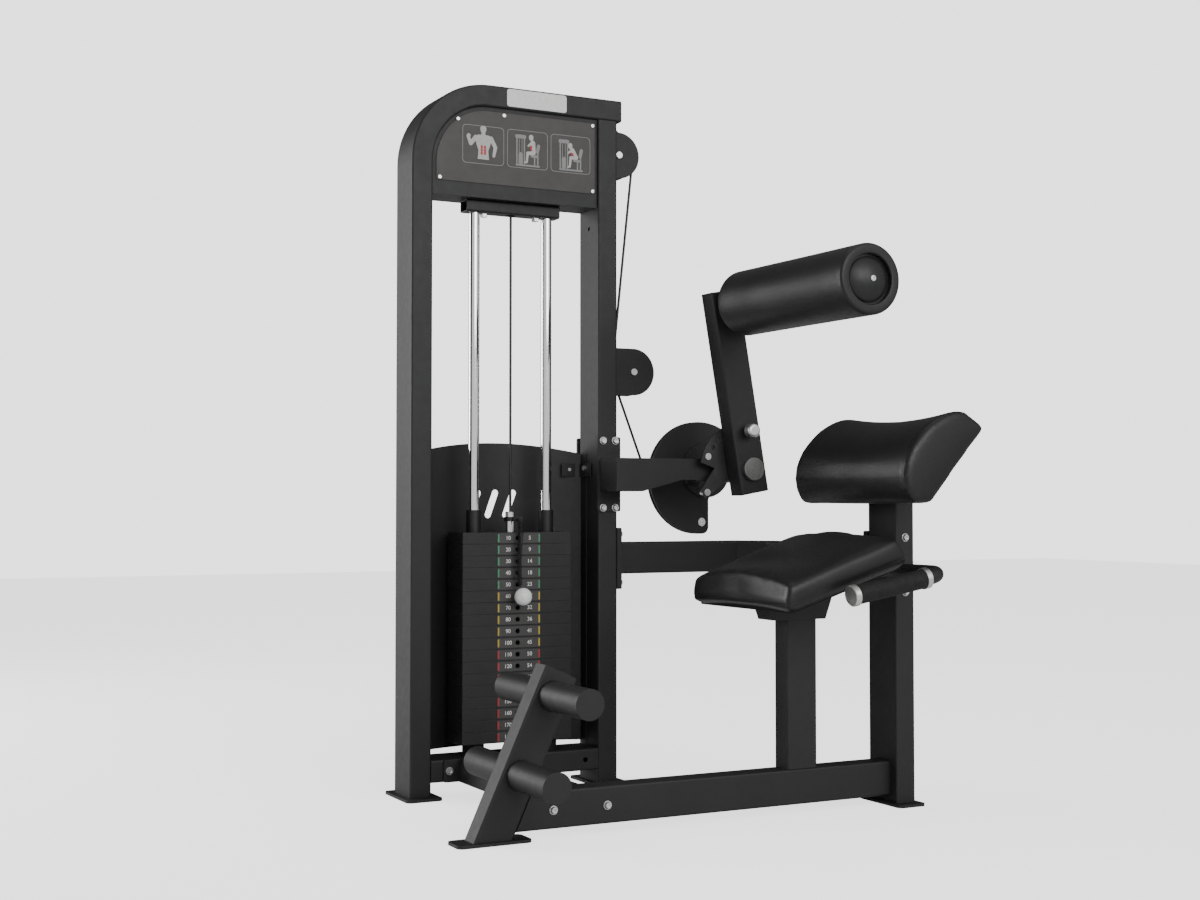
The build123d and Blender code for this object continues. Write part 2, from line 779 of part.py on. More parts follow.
with BuildPart() as roller_end_cap:
    with BuildSketch(plan_view(roller_z)):
        with BuildLine():
            Polyline((roller_x, cap_front), (roller_x, cap_back), (roller_x + cap_radius, cap_back),
                     (roller_x + cap_radius, cap_back - 3))
            TangentArc((roller_x, cap_front), (roller_x + cap_radius, cap_back - 3), tangent=(1, 0))
        make_face()
    revolve(axis=Axis(at(roller_x, 0, roller_z), (0, 1, 0)))
    drill(front_view(roller_outer_end + 3), [roller_place], axle_radius + 0.4, 10)
    drill(front_view(cap_front), [roller_place], 6.5, screw_sink)
roller_end_cap.part.label = "roller_end_cap"
export_step(roller_end_cap.part, "parts/roller_end_cap.step")

with BuildPart() as roller_screw:
    with BuildSketch(front_view(cap_front + screw_sink)):
        with Locations(roller_place):
            Circle(6.5)
    extrude(amount=3.5)
    fillet(roller_screw.faces().sort_by(Axis.Y)[0].edges(), 1.8)
    hexagons(front_view(cap_front + screw_sink - 3.5), [roller_place], 2.6, -2, mode=Mode.SUBTRACT)
roller_screw.part.label = "roller_screw"
export_step(roller_screw.part, "parts/roller_screw.step")

index_place = round_pivot(index_radius, arm_angle)

with BuildPart() as pull_pin:
    with BuildSketch(front_view(sector_back - plate - 0.6)):
        with Locations(index_place):
            Circle(pin_radius)
    extrude(amount=70)
    with BuildSketch(front_view(arm_front - 8.5)):
        with Locations(index_place):
            Circle(7)
    extrude(amount=8)
    with BuildSketch(front_view(arm_front - 16)):
        with Locations(index_place):
            Circle(16)
    extrude(amount=22)
    fillet(pull_pin.edges().filter_by(GeomType.CIRCLE).sort_by(Axis.Y)[0], 6)
pull_pin.part.label = "pull_pin"
export_step(pull_pin.part, "parts/pull_pin.step")

# ------------------------------------------------------------------ guide rods, their bracket and the bumpers

rod_places = [(262.75 - rod_spacing / 2, tower_middle_y), (262.75 + rod_spacing / 2, tower_middle_y)]
rod_top = 1324.0
bracket_height = 28.0
cable_hole = 12.0

with BuildPart() as guide_rods:
    with BuildSketch(plan_view(base_high)):
        with Locations(*rod_places):
            Circle(rod_radius)
    extrude(amount=rod_top - base_high)
guide_rods.part.label = "guide_rods"
export_step(guide_rods.part, "parts/guide_rods.step")

with BuildPart() as rod_top_bracket:
    with BuildSketch(end_view(145)):
        with Locations((tower_middle_y, rod_top + bracket_height / 2)):
            tube_section(40, bracket_height)
    extrude(amount=235)
    drill(plan_view(rod_top + bracket_height), [(stack_x, tower_middle_y)], cable_hole, bracket_height)
rod_top_bracket.part.label = "rod_top_bracket"
export_step(rod_top_bracket.part, "parts/rod_top_bracket.step")

with BuildPart() as stack_bumpers:
    with BuildSketch(plan_view(base_high)):
        with Locations(*rod_places):
            Circle(25)
            Circle(rod_radius + 0.3, mode=Mode.SUBTRACT)
    extrude(amount=26.5)
stack_bumpers.part.label = "stack_bumpers"
export_step(stack_bumpers.part, "parts/stack_bumpers.step")

# ------------------------------------------------------------------ sign and rear shroud

sign_low = rod_top + bracket_height
sign_high = tower_height - post_width
sign_left = post_width
sign_right = tower_width - post_width
corner_x = hoop_x + bend_radius
corner_z = hoop_top - bend_radius


with BuildPart() as sign_frame:
    with BuildSketch(front_view(11)):
        with BuildLine():
            Polyline((sign_left, corner_z), (sign_left, sign_low), (sign_right, sign_low),
                     (sign_right, sign_high), (corner_x, sign_high))
            RadiusArc((corner_x, sign_high), (sign_left, corner_z), -(bend_radius - post_width / 2))
        make_face()
    extrude(amount=3)
    with BuildSketch(plan_view(sign_low)):
        with Locations(((sign_left + sign_right) / 2, tower_middle_y)):
            Rectangle(sign_right - sign_left, 84)
    extrude(amount=3)
    drill(plan_view(sign_low + 3), [(stack_x, tower_middle_y)], cable_hole, 3)
sign_frame.part.label = "sign_frame"
export_step(sign_frame.part, "parts/sign_frame.step")

panel_inset = 10.0
panel_right = sign_right - 7
panel_low = 1385.0

with BuildPart() as sign_panel:
    with BuildSketch(front_view(8)):
        with BuildLine():
            Polyline((sign_left + panel_inset, corner_z), (sign_left + panel_inset, panel_low),
                     (panel_right, panel_low), (panel_right, sign_high - panel_inset),
                     (corner_x, sign_high - panel_inset))
            RadiusArc((corner_x, sign_high - panel_inset), (sign_left + panel_inset, corner_z),
                      -(bend_radius - post_width / 2 - panel_inset))
        make_face()
    extrude(amount=2)
sign_panel.part.label = "sign_panel"
export_step(sign_panel.part, "parts/sign_panel.step")

shroud_low = 95.0
shroud_side_top = 774.0
shroud_rise = 24.0
shroud_back = 130.0
shroud_edge = 90.0
sheet = 2.0
tab_sheet = 3.0
tab_width = 48.0
tab_height = 31.0
tab_low = 720.0
tab_front = 33.0
tab_back = 96.0
shroud_middle_x = (sign_left + sign_right) / 2
slot_places = [(205.0, 655.0), (250.0, 655.0), (295.0, 655.0)]

with BuildPart() as rear_shroud:
    with BuildSketch(plan_view(shroud_low)):
        with BuildLine():
            Polyline((sign_left, shroud_edge), (sign_left, 60), (sign_left + sheet, 60),
                     (sign_left + sheet, shroud_edge - sheet))
            ThreePointArc((sign_left + sheet, shroud_edge - sheet), (shroud_middle_x, shroud_back - sheet),
                          (sign_right - sheet, shroud_edge - sheet))
            Polyline((sign_right - sheet, shroud_edge - sheet), (sign_right - sheet, 60), (sign_right, 60),
                     (sign_right, shroud_edge))
            ThreePointArc((sign_right, shroud_edge), (shroud_middle_x, shroud_back), (sign_left, shroud_edge))
        make_face()
    extrude(amount=shroud_side_top + shroud_rise - shroud_low)
    with BuildSketch(front_view(shroud_back + 5)):
        with BuildLine():
            Polyline((sign_right, shroud_side_top), (sign_right, 900), (sign_left, 900),
                     (sign_left, shroud_side_top))
            ThreePointArc((sign_left, shroud_side_top), (shroud_middle_x, shroud_side_top + shroud_rise),
                          (sign_right, shroud_side_top))
        make_face()
    extrude(amount=100, mode=Mode.SUBTRACT)
    with BuildSketch(front_view(shroud_back + 5)):
        with Locations(*slot_places):
            SlotOverall(70, 16, rotation=70)
    extrude(amount=40, mode=Mode.SUBTRACT)
    with BuildSketch(plan_view(tab_low)):
        with Locations((sign_right - sheet, tab_front)):
            Rectangle(tab_sheet, tab_back - tab_front, align=(Align.MAX, Align.MIN))
        with Locations((sign_right - sheet, tab_back)):
            Rectangle(tab_width, tab_sheet, align=(Align.MAX, Align.MAX))
    extrude(amount=tab_height)
rear_shroud.part.label = "rear_shroud"
export_step(rear_shroud.part, "parts/rear_shroud.step")

# ------------------------------------------------------------------ pulleys and their brackets

stack_pulley = (stack_x + pulley_pitch, upper_pulley[1])
pulleys = {"upper_pulley": upper_pulley, "lower_pulley": lower_pulley, "stack_pulley": stack_pulley}
axle_pin = 8.0
shank_radius = 5.0
bracket_thickness = 5.0
bracket_gap = 30.0
rim_radius = pulley_pitch + 4
groove_gap = cable_radius + 0.1


def bracket_pair(outline):
    """Two flat plates, one on each side of a pulley."""
    for back in (tower_middle_y - bracket_gap / 2, tower_middle_y + bracket_gap / 2 + bracket_thickness):
        with BuildSketch(front_view(back)) as plates:
            outline()
            with Locations(*pulleys.values()):
                Circle(shank_radius, mode=Mode.SUBTRACT)
        extrude(plates.sketch, amount=bracket_thickness)


def arc_slot(centre, start, sweep):
    """An arc-shaped slot in the open sketch."""
    SlotArc(CenterArc(centre, 37, start, sweep, mode=Mode.PRIVATE), 7, mode=Mode.SUBTRACT)


def arc_slots(centre):
    """One long slot and two short ones round a pulley's middle."""
    arc_slot(centre, -45, 90)
    arc_slot(centre, 122, 32)
    arc_slot(centre, 206, 32)


def upper_bracket():
    """The bracket plate beside the upper pulley."""
    x, z = upper_pulley
    with Locations(upper_pulley):
        Circle(55)
    Polygon((tower_width, 1425), (x, z - 55), (x, z + 55), (tower_width, 1560), align=None)
    with Locations((tower_width, z)):
        Rectangle(100, 200, align=(Align.MAX, Align.CENTER), mode=Mode.SUBTRACT)
    arc_slots(upper_pulley)


def lower_bracket():
    """The bracket plate beside the lower pulley."""
    x, z = lower_pulley
    with Locations(lower_pulley):
        Circle(56)
    with Locations((tower_width, z)):
        Rectangle(x - tower_width, 112, align=(Align.MIN, Align.CENTER))
    arc_slots(lower_pulley)


def stack_bracket():
    """The hanger plate beside the pulley above the stack."""
    x, z = stack_pulley
    with Locations(stack_pulley):
        Circle(22)
    with Locations((x, z)):
        Rectangle(44, sign_high - z, align=(Align.CENTER, Align.MIN))


with BuildPart() as pulley_brackets:
    for outline in (upper_bracket, lower_bracket, stack_bracket):
        bracket_pair(outline)
pulley_brackets.part.label = "pulley_brackets"
export_step(pulley_brackets.part, "parts/pulley_brackets.step")

axle_front = tower_middle_y - bracket_gap / 2 - bracket_thickness
axle_back = tower_middle_y + bracket_gap / 2 + bracket_thickness

with BuildPart() as pulley_axles:
    for plane, length in ((front_view(axle_back - bracket_thickness), bracket_gap),
                          (front_view(axle_front), 5), (front_view(axle_back + 5), 5)):
        round_stack(plane, list(pulleys.values()), axle_pin, length)
    for centre in pulleys.values():
        with BuildSketch(front_view(axle_back)) as shank:
            with Locations(centre):
                Circle(shank_radius)
        extrude(shank.sketch, amount=axle_back - axle_front)
pulley_axles.part.label = "pulley_axles"
export_step(pulley_axles.part, "parts/pulley_axles.step")


def pulley(centre):
    """A grooved wheel, turned about its axle."""
    x, z = centre
    half = pulley_width / 2
    middle = tower_middle_y
    with BuildSketch(plan_view(z)) as profile:
        with BuildLine():
            Polyline((x + pulley_pitch - 1, middle - 3), (x + rim_radius, middle - 6),
                     (x + rim_radius, middle - half), (x + axle_pin + running_gap, middle - half),
                     (x + axle_pin + running_gap, middle + half), (x + rim_radius, middle + half),
                     (x + rim_radius, middle + 6), (x + pulley_pitch - 1, middle + 3))
            ThreePointArc((x + pulley_pitch - 1, middle + 3), (x + pulley_pitch - groove_gap, middle),
                          (x + pulley_pitch - 1, middle - 3))
        make_face()
    revolve(profile.sketch, axis=Axis(at(x, 0, z), (0, 1, 0)))


for pulley_name, centre in pulleys.items():
    with BuildPart() as wheel:
        pulley(centre)
    wheel.part.label = pulley_name
    export_step(wheel.part, f"parts/{pulley_name}.step")

# ------------------------------------------------------------------ steel cable

span = (lower_pulley[0] - upper_pulley[0], lower_pulley[1] - upper_pulley[1])
span_length = (span[0] ** 2 + span[1] ** 2) ** 0.5
fall_angle = atan2(span[1], span[0]) - asin(2 * pulley_pitch / span_length)
cam_span = (cam_centre[0] - lower_pulley[0], cam_centre[1] - lower_pulley[1])
cam_span_length = (cam_span[0] ** 2 + cam_span[1] ** 2) ** 0.5
swing_angle = atan2(cam_span[1], cam_span[0]) - asin((cam_pitch - pulley_pitch) / cam_span_length)
upper_leave = degrees(fall_angle) + 90
lower_meet = degrees(fall_angle) - 90
lower_leave = degrees(swing_angle) - 90


def on_circle(centre, radius, angle):
    """A place on a circle, the angle in degrees from +X."""
    return (centre[0] + radius * cos(radians(angle)), centre[1] + radius * sin(radians(angle)))


def cable_along(line, start, direction):
    """A cable swept along a route in the pulleys' plane."""
    origin = at(start[0], tower_middle_y, start[1])
    with BuildSketch(Plane(origin=origin, x_dir=(0, 1, 0), z_dir=(direction[0], 0, direction[1]))) as section:
        Circle(cable_radius)
    sweep(section.sketch, path=line)


cable_start = on_circle(stack_pulley, pulley_pitch, 180)

with BuildPart() as cable_guided:
    with BuildLine(front_view(tower_middle_y)) as guided_route:
        CenterArc(stack_pulley, pulley_pitch, 180, -90)
        Line(on_circle(stack_pulley, pulley_pitch, 90), on_circle(upper_pulley, pulley_pitch, 90))
        CenterArc(upper_pulley, pulley_pitch, 90, upper_leave - 90)
        Line(on_circle(upper_pulley, pulley_pitch, upper_leave),
             on_circle(lower_pulley, pulley_pitch, lower_meet))
        CenterArc(lower_pulley, pulley_pitch, lower_meet, lower_leave - lower_meet)
    cable_along(guided_route.line, cable_start, (0, 1))
cable_guided.part.label = "cable_guided"
export_step(cable_guided.part, "parts/cable_guided.step")

swing_start = on_circle(lower_pulley, pulley_pitch, lower_leave)
swing_end = on_circle(cam_centre, cam_pitch, lower_leave)

with BuildPart() as cable_swing:
    with BuildLine(front_view(tower_middle_y)) as swing_route:
        Line(swing_start, swing_end)
    cable_along(swing_route.line, swing_start, (cos(swing_angle), sin(swing_angle)))
cable_swing.part.label = "cable_swing"
export_step(cable_swing.part, "parts/cable_swing.step")

with BuildPart() as cable_on_cam:
    with BuildLine(front_view(tower_middle_y)) as cam_route:
        CenterArc(cam_centre, cam_pitch, lower_leave + 0.3, 66)
    cable_along(cam_route.line, on_circle(cam_centre, cam_pitch, lower_leave + 0.3),
                (cos(swing_angle), sin(swing_angle)))
cable_on_cam.part.label = "cable_on_cam"
export_step(cable_on_cam.part, "parts/cable_on_cam.step")

# ------------------------------------------------------------------ weight stack

stem_radius = 10.5
stem_top = 637.0
sleeve_radius = 17.0
sleeve_top = 641.0
selector_radius = 5.0
selector_row = 6
selector_z = stack_top - (selector_row - 1) * row_pitch - row_height / 2
stem_place = (262.0, tower_middle_y)


def weight_rows(first, last):
    """Flat weight plates, counted down from the top one."""
    for row in range(first, last + 1):
        top = stack_top - (row - 1) * row_pitch
        with BuildSketch(plan_view(top - row_height)) as slab:
            with Locations((262.75, tower_middle_y)):
                RectangleRounded(stack_width, stack_depth, 3)
            with Locations(*rod_places):
                Circle(rod_radius + 2, mode=Mode.SUBTRACT)
            with Locations(stem_place):
                Circle(stem_radius + 1, mode=Mode.SUBTRACT)
        extrude(slab.sketch, amount=row_height)
        with BuildSketch(front_view(tower_middle_y)) as hole:
            with Locations((stem_place[0], top - row_height / 2)):
                Circle(selector_radius + running_gap)
        extrude(hole.sketch, amount=stack_depth, mode=Mode.SUBTRACT)


for plates_name, first, last in (("top_plate", 1, 1), ("lifted_plates", 2, lifted_rows),
                                 ("resting_plates", lifted_rows + 1, row_count)):
    with BuildPart() as plates:
        weight_rows(first, last)
    plates.part.label = plates_name
    export_step(plates.part, f"parts/{plates_name}.step")

stem_low = stack_top - row_count * row_pitch + 4

with BuildPart() as selector_stem:
    with BuildSketch(plan_view(stem_low)):
        with Locations(stem_place):
            Circle(stem_radius)
    extrude(amount=stem_top - stem_low)
    stem_holes = [(stem_place[0], stack_top - row * row_pitch - row_height / 2) for row in range(row_count)]
    drill(front_view(tower_middle_y - 20), stem_holes, selector_radius + running_gap, 40)
    chamfer(selector_stem.faces().sort_by(Axis.Z)[-1].edges(), 1.5)
selector_stem.part.label = "selector_stem"
export_step(selector_stem.part, "parts/selector_stem.step")

with BuildPart() as carriage_sleeves:
    with BuildSketch(plan_view(stack_top)):
        with Locations(*rod_places):
            Circle(sleeve_radius)
            Circle(rod_radius + running_gap, mode=Mode.SUBTRACT)
    extrude(amount=sleeve_top - stack_top)
carriage_sleeves.part.label = "carriage_sleeves"
export_step(carriage_sleeves.part, "parts/carriage_sleeves.step")

with BuildPart() as cable_stack:
    with BuildSketch(plan_view(stem_top)):
        with Locations((stack_x, tower_middle_y)):
            Circle(cable_radius)
    extrude(amount=stack_pulley[1] - stem_top)
cable_stack.part.label = "cable_stack"
export_step(cable_stack.part, "parts/cable_stack.step")

ball_radius = 20.0
ball_y = -25.0
selector_back = tower_middle_y + stem_radius - 0.6

with BuildPart() as selector_pin:
    with BuildSketch(front_view(selector_back)):
        with Locations((stem_place[0], selector_z)):
            Circle(selector_radius)
    extrude(amount=selector_back - ball_y)
    with Locations(at(stem_place[0], ball_y, selector_z)):
        Sphere(ball_radius)
selector_pin.part.label = "selector_pin"
export_step(selector_pin.part, "parts/selector_pin.step")

clip_z = 620.0

with BuildPart() as tether_clip:
    with BuildSketch(plan_view(clip_z - 5)):
        with Locations(stem_place):
            Circle(stem_radius + 3)
        with Locations((stem_place[0], tower_middle_y - 3)):
            Rectangle(24, 17, align=(Align.MIN, Align.MAX))
        with Locations(stem_place):
            Circle(stem_radius, mode=Mode.SUBTRACT)
    extrude(amount=10)
tether_clip.part.label = "tether_clip"
export_step(tether_clip.part, "parts/tether_clip.step")

tether_radius = 6.5
tether_points = [at(277, 27, 620), at(272, 10, 617), at(264, -9, 598), at(259, -12, 556), at(257, -11, 510),
                 at(259, -14, 466)]


def corner_radius(before, corner, after):
    """As large an arc as the two runs allow."""
    run_in = Vector(corner) - Vector(before)
    run_out = Vector(after) - Vector(corner)
    turn = radians(run_in.get_angle(run_out))
    return 0.45 * min(run_in.length, run_out.length) / tan(turn / 2)


tether_radii = [corner_radius(*tether_points[i - 1:i + 2]) for i in range(1, len(tether_points) - 1)]

with BuildPart() as tether:
    with BuildLine() as tether_route:
        FilletPolyline(*tether_points, radius=tether_radii)
    with BuildSketch(Plane(origin=tether_points[0],
                           z_dir=Vector(tether_points[1]) - Vector(tether_points[0]))):
        Circle(tether_radius)
    sweep(path=tether_route.line)
tether.part.label = "tether"
export_step(tether.part, "parts/tether.step")

# ------------------------------------------------------------------ fasteners

with BuildPart() as frame_bolts:
    through_bolts(front_view(rail_front), link_bolts, 50 + plate)
    through_bolts(front_view(-plate), base_bolts, post_depth + plate)
    through_bolts(front_view(user_y - 50), rear_beam_bolts, 100 + beam_flange)
    through_bolts(front_view(-plate), support_bolts, post_depth + 2 * plate)
    button_heads(end_view(tower_width + beam_flange), tower_beam_bolts, beam_flange + 8)
    hexagons(plan_view(rod_top), [(194.5, tower_middle_y), (325.4, tower_middle_y)], 9, -8)
frame_bolts.part.label = "frame_bolts"
export_step(frame_bolts.part, "parts/frame_bolts.step")

panel_screws_at = [(226, 1546.0), (454, 1546.0), (454, 1391.0), (68, 1391.0), (112, 1527.0)]

with BuildPart() as trim_screws:
    round_stack(front_view(8 - 2), panel_screws_at, 4, 2)
    hexagons(front_view(8 - 4), panel_screws_at, 1.8, -1, mode=Mode.SUBTRACT)
    round_stack(end_view(sign_left + sheet), [(75, 739), (75, 160)], 5, 2.5)
    round_stack(end_view(sign_right - sheet), [(75, 160)], 5, -2.5)
    round_stack(end_view(sign_right - sheet - tab_sheet), [(62, 740)], 6, -4)
    round_stack(front_view(tab_back - tab_sheet), [(sign_right - 30, 737)], 4, 2)
trim_screws.part.label = "trim_screws"
export_step(trim_screws.part, "parts/trim_screws.step")

cable_length = sum(edge.length for edge in guided_route.line.edges())
tether_length = sum(edge.length for edge in tether_route.line.edges())
print("cable volume", round(cable_guided.part.volume), round(pi * cable_radius ** 2 * cable_length))
print("tether volume", round(tether.part.volume), round(pi * tether_radius ** 2 * tether_length))
print("tether length", round(tether_length), "arc radii", [round(radius) for radius in tether_radii])
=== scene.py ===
import json
import math

import bmesh
import bpy
import numpy as np
from mathutils import Euler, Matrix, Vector


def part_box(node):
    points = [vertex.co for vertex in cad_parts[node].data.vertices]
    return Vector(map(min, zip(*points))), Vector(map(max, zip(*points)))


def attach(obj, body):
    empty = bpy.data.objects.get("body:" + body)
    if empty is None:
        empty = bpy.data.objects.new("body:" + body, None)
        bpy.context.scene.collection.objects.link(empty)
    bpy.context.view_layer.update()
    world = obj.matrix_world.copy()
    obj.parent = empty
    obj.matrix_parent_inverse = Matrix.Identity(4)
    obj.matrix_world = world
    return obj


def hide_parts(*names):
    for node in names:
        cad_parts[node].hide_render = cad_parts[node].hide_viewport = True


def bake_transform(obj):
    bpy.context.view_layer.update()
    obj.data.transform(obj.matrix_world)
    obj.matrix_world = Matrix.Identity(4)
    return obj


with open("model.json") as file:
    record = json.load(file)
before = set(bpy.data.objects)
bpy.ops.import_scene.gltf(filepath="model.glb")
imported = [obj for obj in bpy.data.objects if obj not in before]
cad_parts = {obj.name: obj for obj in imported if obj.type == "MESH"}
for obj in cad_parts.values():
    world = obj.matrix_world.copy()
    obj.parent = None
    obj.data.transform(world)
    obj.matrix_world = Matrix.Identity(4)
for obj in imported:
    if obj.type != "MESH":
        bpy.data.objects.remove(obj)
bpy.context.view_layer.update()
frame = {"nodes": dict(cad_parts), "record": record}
scene = bpy.context.scene
nodes = frame["nodes"]

MM = 0.001


# ---------------------------------------------------------------- camera

camera_place = (-1.7865, -3.1464, 0.6572)
camera_pitch = 91.8265
camera_heading = -27.396
camera_lens = 49.78
sensor_width = 36.0
clip_distance = 50.0


def make_camera():
    """The photograph's viewpoint: in front of the machine and to its left, at four tenths of its height."""
    data = bpy.data.cameras.new("camera")
    data.sensor_width = sensor_width
    data.lens = camera_lens
    data.clip_end = clip_distance
    camera = bpy.data.objects.new("camera", data)
    camera.location = camera_place
    camera.rotation_euler = Euler((math.radians(camera_pitch), 0.0, math.radians(camera_heading)))
    scene.collection.objects.link(camera)
    scene.camera = camera


make_camera()


# ---------------------------------------------------------------- materials

class Graph:
    """A material's node tree, with short calls for the nodes that the finishes share."""

    def __init__(self, name, roughness, metallic=0.0, specular=0.5):
        self.material = bpy.data.materials.new(name)
        self.material.use_nodes = True
        self.tree = self.material.node_tree
        self.shader = self.tree.nodes["Principled BSDF"]
        self.shader.inputs["Roughness"].default_value = roughness
        self.shader.inputs["Metallic"].default_value = metallic
        self.shader.inputs["Specular IOR Level"].default_value = specular
        self.place = self.node("ShaderNodeTexCoord").outputs["Object"]

    def node(self, kind, **values):
        """A new node, with its settings."""
        made = self.tree.nodes.new(kind)
        for key, value in values.items():
            setattr(made, key, value)
        return made

    def link(self, source, target):
        """Joins an output to an input."""
        self.tree.links.new(source, target)

    def noise(self, scale, detail=2.0, stretch=None):
        """Noise of so many features per metre, stretched along an axis if asked."""
        texture = self.node("ShaderNodeTexNoise")
        texture.inputs["Scale"].default_value = scale
        texture.inputs["Detail"].default_value = detail
        place = self.place
        if stretch:
            mapping = self.node("ShaderNodeMapping")
            mapping.inputs["Scale"].default_value = stretch
            self.link(place, mapping.inputs["Vector"])
            place = mapping.outputs["Vector"]
        self.link(place, texture.inputs["Vector"])
        return texture.outputs["Fac"]

    def cells(self, scale):
        """Distance within small cells, as in leather grain or foam."""
        texture = self.node("ShaderNodeTexVoronoi")
        texture.inputs["Scale"].default_value = scale
        self.link(self.place, texture.inputs["Vector"])
        return texture.outputs["Distance"]

    def waves(self, scale, place=None, distortion=0.0, **values):
        """Even bands or rings, so many per metre."""
        texture = self.node("ShaderNodeTexWave", **values)
        texture.inputs["Scale"].default_value = scale
        texture.inputs["Distortion"].default_value = distortion
        self.link(self.place if place is None else place, texture.inputs["Vector"])
        return texture.outputs["Fac"]

    def ramp(self, value, low, high, start=0.3, end=0.7):
        """Maps a value from start..end, by default the usual spread of a noise, to low..high."""
        mapped = self.node("ShaderNodeMapRange")
        mapped.inputs["From Min"].default_value = start
        mapped.inputs["From Max"].default_value = end
        mapped.inputs["To Min"].default_value = low
        mapped.inputs["To Max"].default_value = high
        self.link(value, mapped.inputs["Value"])
        return mapped.outputs["Result"]

    def mix(self, factor, first, second):
        """Mixes two colours; either may be a colour or another node's output."""
        mixed = self.node("ShaderNodeMix", data_type="RGBA")
        self.link(factor, mixed.inputs["Factor"])
        for value, socket in ((first, mixed.inputs["A"]), (second, mixed.inputs["B"])):
            if isinstance(value, tuple):
                socket.default_value = (*value, 1.0)
            else:
                self.link(value, socket)
        return mixed.outputs["Result"]

    def rounded_edges(self, radius):
        """Normals rounded over the model's sharp edges."""
        bevel = self.node("ShaderNodeBevel", samples=4)
        bevel.inputs["Radius"].default_value = radius
        return bevel.outputs["Normal"]

    def near_edge(self, rounded):
        """One at an edge and nought on a flat face, from the rounded normals; the mask of the painted edge
        highlight.
        """
        geometry = self.node("ShaderNodeNewGeometry")
        dot = self.node("ShaderNodeVectorMath", operation="DOT_PRODUCT")
        self.link(rounded, dot.inputs[0])
        self.link(geometry.outputs["Normal"], dot.inputs[1])
        return self.ramp(dot.outputs["Value"], 1.0, 0.0, start=0.86, end=0.995)

    def noisy_mix(self, scale, detail, first, second):
        """Two colours in soft patches."""
        return self.mix(self.ramp(self.noise(scale, detail), 0.0, 1.0), first, second)

    def noisy(self, scale, low, high, detail=2.0):
        """A number that wanders between two values, for the roughness."""
        return self.ramp(self.noise(scale, detail), low, high)

    def bump(self, height, distance, strength, normal=None):
        """Relief of a height in metres, over other normals if given."""
        made = self.node("ShaderNodeBump")
        made.inputs["Distance"].default_value = distance
        made.inputs["Strength"].default_value = strength
        self.link(height, made.inputs["Height"])
        if normal is not None:
            self.link(normal, made.inputs["Normal"])
        return made.outputs["Normal"]

    def finish(self, colour, roughness=None, normal=None):
        """Joins what is given to the shader and hands the material over."""
        for value, name in ((colour, "Base Color"), (roughness, "Roughness"), (normal, "Normal")):
            if value is not None:
                self.link(value, self.shader.inputs[name])
        return self.material


def powder_coat(name, dark, light, edge_highlight, roughness):
    """Textured powder coat: fine orange peel, faint blotches, and a painted highlight that makes its edges a
    shade lighter.
    """
    g = Graph(name, roughness, specular=0.42)
    rounded = g.rounded_edges(1.6 * MM)
    # Painted highlight: the edge colour is mixed in where the rounded normals turn, over the blotched paint.
    colour = g.mix(g.near_edge(rounded), g.noisy_mix(16.0, 4.0, dark, light), edge_highlight)
    peel = g.bump(g.noise(900.0, 3.0), 0.12 * MM, 0.5, rounded)
    return g.finish(colour, g.noisy(60.0, roughness - 0.03, roughness + 0.04), peel)


def chrome(name):
    """Bright plating, with faint marks along the rod."""
    g = Graph(name, 0.08, metallic=1.0)
    marks = g.noise(40.0, 4.0, (12.0, 12.0, 0.6))
    colour = g.mix(g.ramp(marks, 0.0, 1.0), (0.95, 0.95, 0.96), (0.88, 0.88, 0.90))
    return g.finish(colour, g.ramp(marks, 0.05, 0.14), g.bump(marks, 0.02 * MM, 0.2))


def bright_steel(name, colour, roughness, ring_centre=None):
    """Zinc-plated or turned steel; turned faces carry fine rings about a centre."""
    g = Graph(name, roughness, metallic=1.0)
    shade = tuple(c * 0.9 for c in colour)
    tone = g.noisy_mix(500.0, 3.0, shade, colour)
    height = g.noise(1400.0)
    if ring_centre:
        shift = g.node("ShaderNodeMapping")
        shift.inputs["Location"].default_value = (-ring_centre[0], 0.0, -ring_centre[2])
        g.link(g.place, shift.inputs["Vector"])
        height = g.waves(260.0, wave_type="RINGS", rings_direction="Y", place=shift.outputs["Vector"],
                         distortion=0.4)
        tone = g.mix(height, shade, tone)
    normal = g.bump(height, 0.03 * MM, 0.2, g.rounded_edges(0.5 * MM))
    return g.finish(tone, g.noisy(300.0, roughness - 0.04, roughness + 0.06), normal)


def vinyl(name):
    """Upholstery vinyl: small leather grain, soft unevenness and a low sheen."""
    g = Graph(name, 0.42)
    g.shader.inputs["Sheen Weight"].default_value = 0.03
    g.shader.inputs["Sheen Roughness"].default_value = 0.4
    colour = g.noisy_mix(9.0, 3.0, *soft_black)
    grain = g.bump(g.cells(520.0), 0.25 * MM, 0.45)
    uneven = g.bump(g.noise(26.0, 3.0), 0.8 * MM, 0.08, grain)
    return g.finish(colour, g.noisy(140.0, 0.36, 0.47, 3.0), uneven)


def foam(name):
    """Dense moulded foam with a fine closed-cell skin."""
    g = Graph(name, 0.46)
    g.shader.inputs["Sheen Weight"].default_value = 0.04
    colour = g.noisy_mix(12.0, 3.0, *soft_black)
    skin = g.bump(g.cells(900.0), 0.12 * MM, 0.35)
    return g.finish(colour, g.noisy(200.0, 0.40, 0.50), skin)


def ribbed_rubber(name):
    """Matt rubber of the grips, with fine ribs round the bar."""
    g = Graph(name, 0.7, specular=0.35)
    colour = g.noisy_mix(60.0, 3.0, (0.010, 0.010, 0.010), (0.018, 0.018, 0.018))
    skin = g.bump(g.noise(1200.0), 0.08 * MM, 0.5)
    ribs = g.bump(g.waves(110.0, wave_type="BANDS", bands_direction="X"), 0.35 * MM, 0.35, skin)
    return g.finish(colour, g.noisy(200.0, 0.62, 0.78), ribs)


